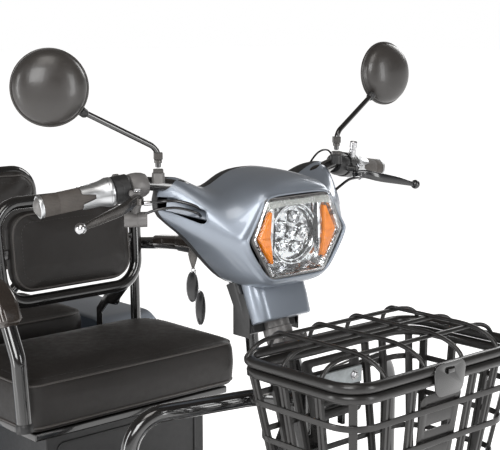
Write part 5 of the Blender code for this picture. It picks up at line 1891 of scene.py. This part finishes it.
surface(
    "vinyl_piping", "vinyl", (0.050, 0.045, 0.042), 0.42, 0.0, 0.0, 0.12, 40.0,
    (("cells", 700.0, 0.15, 0.0004),)
)
make_basket()
make_front_seat()
make_front_backrest()
make_armrests()
left_half = [
    (-0.2985, -0.375, 0.182), (-0.2985, -0.375, 0.657), (-0.075, -0.4235, 0.657), (-0.040, -0.475, 0.657)
]
hoop = rounded(left_half + [(-x, y, z) for x, y, z in reversed(left_half)], 0.060, 12)
own(sweep("leg_guard_bar", hoop, circle(0.014, 32), tips=0.002), "chassis", "black_paint", "leg_guard")


# Rear seat and body
def keep(node, look):
    """A CAD node whose shape is right keeps its mesh and gets a material."""
    obj = bpy.data.objects[node]
    obj.data.materials.clear()
    obj.data.materials.append(LOOKS[look])


def make_rear_seat():
    make_seat_slab("bench_upholstery", "rear_bench_cushion", "rear_bench", 0.045, 0.045, 0.0055)
    low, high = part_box("rear_backrest_cushion")
    basis = Matrix((X_AXIS, Z_AXIS, -Y_AXIS)).transposed()
    make_back_pad(
        "rear_backrest_upholstery", "rear_backrest_cushion", "chassis", (low + high) / 2, basis,
        high.x - 0.002, (high.z - low.z) / 2 - 0.002, (high.y - low.y) / 2 - 0.003, 0.050
    )
    tube_path = [
        (-0.200, 0.310), (-0.200, 0.560), (-0.290, 0.640), (-0.295, 0.890), (0.295, 0.890), (0.290, 0.640),
        (0.200, 0.560), (0.200, 0.310)
    ]
    path = rounded([(x, 0.8275, z) for x, z in tube_path], 0.060, 10)
    own(
        sweep("rear_backrest_tube", path, circle(0.0125, 28), tips=0.002), "chassis", "black_paint",
        "rear_backrest_frame"
    )
    bolts = [bolt((x, 0.8400, z), Y_AXIS, 0.0055, 0.0045) for x in (-0.2, 0.2) for z in (0.350, 0.500)]
    own(merge("rear_backrest_bolts", bolts), "chassis", "steel")


FENDER_VIEW = (
    (0.345, 0.300), (0.345, 0.440), (0.395, 0.560), (0.440, 0.585), (0.700, 0.585), (0.765, 0.560),
    (0.800, 0.470), (0.800, 0.300)
)


def make_fenders():
    for side, word in ((1, "left"), (-1, "right")):
        low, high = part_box(f"{word}_rear_fender")
        middle = (low.x + high.x) / 2
        wide = high.x - low.x
        skin = plate(
            f"{word}_fender_shell", [(p[0], p[1]) for p in rounded(FENDER_VIEW, 0.060, 8)], wide,
            (middle, 0, 0), SIDE_VIEW, 0
        )
        soften(skin, 0.016, 5, 60)
        room = [
            (0.350, 0.250), (0.350, 0.438), (0.399, 0.556), (0.442, 0.580), (0.698, 0.580), (0.761, 0.556),
            (0.795, 0.469), (0.795, 0.250)
        ]
        inner = plate(
            "fender_room", [(p[0], p[1]) for p in rounded(room, 0.058, 8)], wide,
            (middle - side * 0.006, 0, 0), SIDE_VIEW, 0
        )
        boolean(skin, soften(inner, 0.012, 4, 60))
        axle = joint_at(f"{word}_rear_wheel_spin")
        boolean(skin, rod("arch", axle + X_AXIS * side * 0.04, axle + X_AXIS * side * 0.10, 0.222, sides=96))
        own(soften(skin, 0.0010, 2, 50), "chassis", "body_paint", f"{word}_rear_fender")
        lip = [
            axle + Vector((side * 0.0695, 0.2225 * math.cos(rad(a)), 0.2225 * math.sin(rad(a))))
            for a in range(32, 149, 4)
        ]
        own(sweep(f"{word}_arch_lip", lip, circle(0.0030, 12), tips=0.002), "chassis", "black_plastic")
        low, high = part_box(f"{word}_tail_light")
        own(
            block(
                f"{word}_tail_lens", low + Vector((0.003, 0.004, 0.003)), high - Vector((0.003, 0, 0.003)),
                0.005
            ),
            "chassis", "red_lens", f"{word}_tail_light"
        )
        own(
            block(f"{word}_tail_base", low, Vector((high.x, low.y + 0.008, high.z)), 0.0025), "chassis",
            "black_plastic"
        )
        glow = lathe(
            f"{word}_tail_reflex", [(0, 0), (0.014, 0), (0.0145, 0.0008), (0.013, 0.0020), (0, 0.0024)],
            ((low.x + high.x) / 2, high.y - 0.0006, (low.z + high.z) / 2), Y_AXIS, 40
        )
        own(glow, "chassis", "red_lens")


def make_rear_body():
    keep("rear_body", "navy_panel")
    low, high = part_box("rear_body")
    parts = [
        sweep(
            "trim",
            loop_path(
                [
                    (low.x - 0.001, low.y - 0.001, z), (high.x + 0.001, low.y - 0.001, z),
                    (high.x + 0.001, high.y + 0.001, z), (low.x - 0.001, high.y + 0.001, z)
                ],
                0.012, 4
            ),
            bar_section(0.005, 0.012, 0.002), cyclic=True, up=Z_AXIS
        )
        for z in (low.z + 0.008, high.z - 0.010)
    ]
    own(merge("rear_body_trim", parts), "chassis", "black_plastic")
    vents = [
        block(
            "vent", (x - 0.045, low.y - 0.0030, z - 0.0025), (x + 0.045, low.y + 0.001, z + 0.0025), 0.0012
        )
        for x in (-0.10, 0.10)
        for z in np.arange(0.400, 0.470, 0.012)
    ]
    own(merge("rear_body_vents", vents), "chassis", "black_plastic")
    handle = rounded(
        [
            (-0.06, high.y + 0.001, 0.46), (-0.06, high.y + 0.022, 0.46), (0.06, high.y + 0.022, 0.46),
            (0.06, high.y + 0.001, 0.46)
        ],
        0.010, 5
    )
    own(sweep("rear_body_handle", handle, circle(0.005, 16)), "chassis", "steel")
    disc = [(0, 0), (0.030, 0), (0.031, 0.001), (0.029, 0.004), (0.024, 0.0055), (0, 0.006)]
    own(
        merge("rear_reflex", [lathe("disc", disc, (x, high.y, 0.360), Y_AXIS, 48) for x in (-0.13, 0.13)]),
        "chassis", "red_lens"
    )


def make_floor():
    keep("floor_pan", "black_plastic")
    keep("main_frame", "black_paint")
    keep("battery_pack", "grey_plastic")
    keep("seat_box", "black_plastic")
    low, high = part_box("floor_pan")
    ribs = [
        block("rib", (x - 0.0030, -0.345, high.z), (x + 0.0030, 0.005, high.z + 0.0022), 0.0010, 2)
        for x in np.linspace(0.060, 0.260, 15)
    ]
    ribs += [
        block("rib", (-x - 0.0030, -0.345, high.z), (0.0030 - x, 0.005, high.z + 0.0022), 0.0010, 2)
        for x in np.linspace(0.060, 0.260, 15)
    ]
    own(merge("floor_mat", ribs), "chassis", "grip_rubber")
    edge = loop_path(
        [
            (low.x, low.y, high.z - 0.008), (high.x, low.y, high.z - 0.008),
            (high.x, high.y, high.z - 0.008), (low.x, high.y, high.z - 0.008)
        ],
        0.012, 5
    )
    own(
        sweep("floor_edge", edge, bar_section(0.005, 0.018, 0.002), cyclic=True, up=Z_AXIS), "chassis",
        "black_plastic"
    )
    low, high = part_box("seat_box")
    louvres = [
        block(
            "louvre", (side * 0.11 - 0.05, low.y - 0.0030, z - 0.003),
            (side * 0.11 + 0.05, low.y + 0.001, z + 0.003), 0.0014
        )
        for side in (-1, 1)
        for z in np.arange(0.255, 0.345, 0.014)
    ]
    frame_path = loop_path(
        [
            (-0.165, low.y - 0.001, 0.215), (0.165, low.y - 0.001, 0.215), (0.165, low.y - 0.001, 0.480),
            (-0.165, low.y - 0.001, 0.480)
        ],
        0.015, 5
    )
    louvres.append(sweep("seam", frame_path, bar_section(0.004, 0.003, 0.001), cyclic=True, up=Y_AXIS))
    own(merge("seat_box_louvres", louvres), "chassis", "black_plastic")
    lock = [
        (0, 0), (0.011, 0), (0.0115, 0.001), (0.0105, 0.0035), (0.006, 0.0040), (0.0055, 0.003), (0, 0.003)
    ]
    own(lathe("seat_box_lock", lock, (0, low.y - 0.0005, 0.440), -Y_AXIS, 40), "chassis", "steel")


# Wheels
def tyre(name, place, half, outer, rim, steps=180):
    profile = [
        (rim, 0.70), (rim + 0.004, 0.80), (rim + 0.012, 0.93), (rim + 0.022, 0.985), (rim + 0.034, 1.0),
        (outer - 0.026, 1.0), (outer - 0.018, 0.97), (outer - 0.0105, 0.86), (outer - 0.0060, 0.70),
        (outer - 0.0045, 0.60), (outer - 0.0085, 0.575), (outer - 0.0080, 0.50), (outer - 0.0030, 0.475),
        (outer - 0.0008, 0.30), (outer, 0.17), (outer - 0.0045, 0.145), (outer - 0.0045, 0.0)
    ]
    profile = profile + [(r, -x) for r, x in reversed(profile[:-1])]
    verts, faces, n = [], [], len(profile)
    for i in range(steps):
        angle = 2 * math.pi * i / steps
        for k, (r, x) in enumerate(profile):
            share = abs(x)
            slant = int(i + (6 if x > 0 else 0) + share * 6) % 6
            cut = 0.0045 if slant == 0 and (
                0.47 < share < 0.72 or 0.84 < share < 0.98 and r > outer - 0.02 or 0.16 < share < 0.31
            ) else 0.0
            r = r - cut
            verts.append(Vector(place) + Vector((x * half, r * math.cos(angle), r * math.sin(angle))))
    for i in range(steps):
        j = (i + 1) % steps
        faces += [(i * n + k, i * n + (k + 1) % n, j * n + (k + 1) % n, j * n + k) for k in range(n)]
    return piece(name, verts, faces, 28)


def make_wheel(word, body, half):
    place = joint_at(f"{word}_wheel_spin")
    own(tyre(f"{word}_tyre_tread", place, half, 0.1898, 0.1185), body, "tyre_rubber", f"{word}_tyre")
    h, outer = half * 0.70, 0.1178
    barrel = [
        (outer, h), (outer - 0.0015, h + 0.0006), (outer - 0.0090, h), (outer - 0.0110, h - 0.003),
        (outer - 0.0130, h * 0.45), (outer - 0.0170, h * 0.25), (outer - 0.0170, -h * 0.25),
        (outer - 0.0130, -h * 0.45), (outer - 0.0110, 0.003 - h), (outer - 0.0090, -h),
        (outer - 0.0015, -h - 0.0006), (outer, -h)
    ]
    parts = [lathe("barrel", barrel, place, X_AXIS, 120)]
    hub = [
        (0.0085, h), (0.0240, h), (0.0270, h - 0.002), (0.0290, h * 0.45), (0.0340, h * 0.30),
        (0.0340, -h * 0.30), (0.0290, -h * 0.45), (0.0270, 0.002 - h), (0.0240, -h), (0.0085, -h)
    ]
    parts.append(lathe("hub", hub, place, X_AXIS, 64))
    for i in range(5):
        for lean in (-9, 9):
            a, b = rad(90 + 72 * i + lean * 0.45), rad(90 + 72 * i + lean * 1.35)
            start = place + Vector((0, 0.029 * math.cos(a), 0.029 * math.sin(a)))
            end = place + Vector((0, 0.1035 * math.cos(b), 0.1035 * math.sin(b)))
            parts.append(
                sweep(
                    "spoke", [start, start.lerp(end, 0.5), end], bar_section(0.017, 0.010, 0.003),
                    [1.1, 0.9, 1.0], up=(end - start).cross(X_AXIS).normalized()
                )
            )
    own(merge(f"{word}_cast_rim", parts), body, "alloy", f"{word}_rim")
    valve = Vector((h * 0.5, 0.103 * math.cos(rad(126)), 0.103 * math.sin(rad(126))))
    own(
        rod(
            f"{word}_valve", place + valve, place + valve * 0.82 + Vector((h * 0.25, 0, 0)), 0.0026, 0.0020,
            16, 0.0004
        ),
        body, "black_plastic"
    )
    disc = [(0.0300, 0), (0.0620, 0), (0.0620, 0.0022), (0.0300, 0.0022)]
    own(
        lathe(
            f"{word}_brake_disc", disc, place + X_AXIS * (-h - 0.0002 if place.x > 0 else h - 0.0020),
            X_AXIS, 72
        ),
        body, "steel"
    )


def make_axles():
    y, z = joint_at("left_rear_wheel_spin").y, joint_at("left_rear_wheel_spin").z
    middle = Vector((0, y, z))
    tube_profile = [
        (0, -0.245), (0.0200, -0.245), (0.0210, -0.243), (0.0210, -0.150), (0.0195, -0.146),
        (0.0195, 0.146), (0.0210, 0.150), (0.0210, 0.243), (0.0200, 0.245), (0, 0.245)
    ]
    parts = [lathe("housing", tube_profile, middle, X_AXIS, 48)]
    case = [
        (0, -0.055), (0.050, -0.055), (0.060, -0.050), (0.066, -0.038), (0.066, -0.006), (0.0675, -0.004),
        (0.0675, 0.004), (0.066, 0.006), (0.066, 0.038), (0.060, 0.050), (0.052, 0.0535), (0, 0.0535)
    ]
    parts.append(lathe("case", case, middle, X_AXIS, 72))
    can = [
        (0, 0.05), (0.052, 0.05),
        *[(0.052 - (0.0025 if i % 2 else 0), 0.056 + 0.005 * (i // 2 + (i % 2) * 0.5)) for i in range(26)],
        (0.050, 0.127), (0.044, 0.130), (0, 0.130)
    ]
    parts.append(lathe("can", can, middle, X_AXIS, 72))
    parts += [
        block("plate", (x - 0.004, y - 0.035, z - 0.030), (x + 0.004, y + 0.035, 0.2705), 0.0015)
        for x in (-0.16, 0.16)
    ]
    parts += [
        rod("spindle", middle + X_AXIS * side * 0.24, middle + X_AXIS * side * 0.336, 0.0078, sides=32)
        for side in (-1, 1)
    ]
    own(merge("rear_axle", parts), "chassis", "black_paint", "rear_axle_housing")
    nuts = [bolt((side * 0.3300, y, z), X_AXIS * side, 0.0120, 0.0080) for side in (-1, 1)]
    ring = [
        bolt(
            middle + Vector((-0.0550, 0.052 * math.cos(rad(a)), 0.052 * math.sin(rad(a)))), -X_AXIS, 0.004,
            0.003
        )
        for a in range(0, 360, 60)
    ]
    own(merge("axle_nuts", nuts), "chassis", "steel")
    own(merge("drive_bolts", ring), "chassis", "steel")


# Fork
def make_fork():
    offset, leg = 0.0295, 0.075
    parts = [rod("steerer", on_steerer(-0.315), on_steerer(0.018), 0.0163, sides=40)]
    crown = block("crown", (-0.0965, -0.0360, -0.0100), (0.0965, 0.0360, 0.0100), 0.005)
    crown.matrix_world = Matrix.Translation(on_steerer(-0.310, 0.014)) @ STEER_BASIS.to_4x4()
    parts.append(settle(crown))
    parts += [
        rod("stanchion", on_steerer(-0.480, offset, x), on_steerer(-0.312, offset, x), 0.0125, sides=40)
        for x in (-leg, leg)
    ]
    own(merge("fork_top", parts), "steering", "steel", "fork_yoke")
    caps = [bolt(on_steerer(-0.2995, offset, x), STEER_UP, 0.0105, 0.006, False) for x in (-leg, leg)]
    own(merge("fork_caps", caps), "steering", "black_plastic")
    lowers = []
    slider = [
        (0, 0), (0.0150, 0), (0.0180, 0.004), (0.0190, 0.012), (0.0190, 0.085), (0.0175, 0.092),
        (0.0175, 0.205), (0.0190, 0.212), (0.0190, 0.236), (0.0178, 0.2400), (0.0134, 0.2400),
        (0.0134, 0.100), (0, 0.100)
    ]
    lowers += [lathe("slider", slider, on_steerer(-0.640, offset, x), STEER_UP, 48) for x in (-leg, leg)]
    axle = joint_at("front_wheel_spin")
    lowers.append(rod("axle", axle - X_AXIS * 0.092, axle + X_AXIS * 0.092, 0.0078, sides=32))
    own(merge("fork_sliders", lowers), "fork_lower", "alloy", "fork_lowers")
    own(
        merge(
            "front_axle_nuts",
            [bolt(axle + X_AXIS * side * 0.0905, X_AXIS * side, 0.0105, 0.007) for side in (-1, 1)]
        ),
        "fork_lower", "steel"
    )
    seals = [
        lathe(
            "seal",
            [(0.0134, 0.236), (0.0200, 0.236), (0.0205, 0.238), (0.0200, 0.247), (0.0134, 0.248)],
            on_steerer(-0.640, offset, x), STEER_UP, 48
        )
        for x in (-leg, leg)
    ]
    own(merge("fork_seals", seals), "fork_lower", "black_plastic")
    spine = [
        axle + Vector((0, -0.2050 * math.cos(rad(a)), 0.2050 * math.sin(rad(a))))
        for a in range(48, 169, 4)
    ]
    profile = [
        (-0.047, -0.016), (-0.046, -0.006), (-0.038, 0.0005), (-0.020, 0.0035), (0.0, 0.0045),
        (0.020, 0.0035), (0.038, 0.0005), (0.046, -0.006), (0.047, -0.016)
    ]
    section = profile + [(x * 0.965, y - 0.0022) for x, y in reversed(profile)]
    rings = []
    for i, p in enumerate(spine):
        out = (p - axle).normalized()
        taper = 1.0 - 0.25 * max(0.0, abs(i - 15) - 11) / 4
        rings.append([p + X_AXIS * (x * taper) + out * y for x, y in section])
    parts = [loft("guard", rings)]
    for side in (-1, 1):
        parts.append(
            block(
                "stay", (side * 0.0510 - 0.0040, axle.y + 0.062, 0.335),
                (side * 0.0510 + 0.0040, axle.y + 0.092, 0.372), 0.002
            )
        )
    own(merge("front_guard", parts), "fork_lower", "body_paint", "front_fender")


def make_pedal():
    low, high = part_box("brake_pedal")
    pivot = joint_at("pedal_press")
    pad = block("pad", (low.x, low.y, high.z - 0.070), (high.x, low.y + 0.010, high.z), 0.004)
    arm = block(
        "arm", (pivot.x - 0.006, low.y + 0.002, low.z), (pivot.x + 0.006, low.y + 0.012, high.z - 0.020),
        0.002
    )
    barrel = rod("barrel", pivot - X_AXIS * 0.020, pivot + X_AXIS * 0.020, 0.0068, sides=32)
    own(merge("pedal_arm", [arm, barrel]), "pedal", "black_paint")
    own(pad, "pedal", "alloy", "brake_pedal")
    ribs = [
        block(
            "rib", (low.x + 0.005, low.y - 0.0020, z - 0.0022),
            (high.x - 0.005, low.y + 0.0010, z + 0.0022), 0.0009, 2
        )
        for z in np.arange(high.z - 0.062, high.z - 0.004, 0.0095)
    ]
    own(merge("pedal_rubber", ribs), "pedal", "grip_rubber")


make_rear_seat()
make_fenders()
make_rear_body()
make_floor()
make_wheel("front", "front_wheel", 0.036)
make_wheel("left_rear", "left_rear_wheel", 0.042)
make_wheel("right_rear", "right_rear_wheel", 0.042)
make_axles()
make_fork()
make_pedal()


# Floor
def make_ground():
    ground = piece("ground", [(-40, -40, 0), (40, -40, 0), (40, 40, 0), (-40, 40, 0)], [(0, 1, 2, 3)])
    surface(
        "ground", "ground", (0.80, 0.80, 0.80), 0.7, 0.0, 0.0, 0.01, 0.5, (), emission_color=(1, 1, 1, 1),
        emission_strength=0.97
    )
    ground.data.materials.append(LOOKS["ground"])


make_ground()
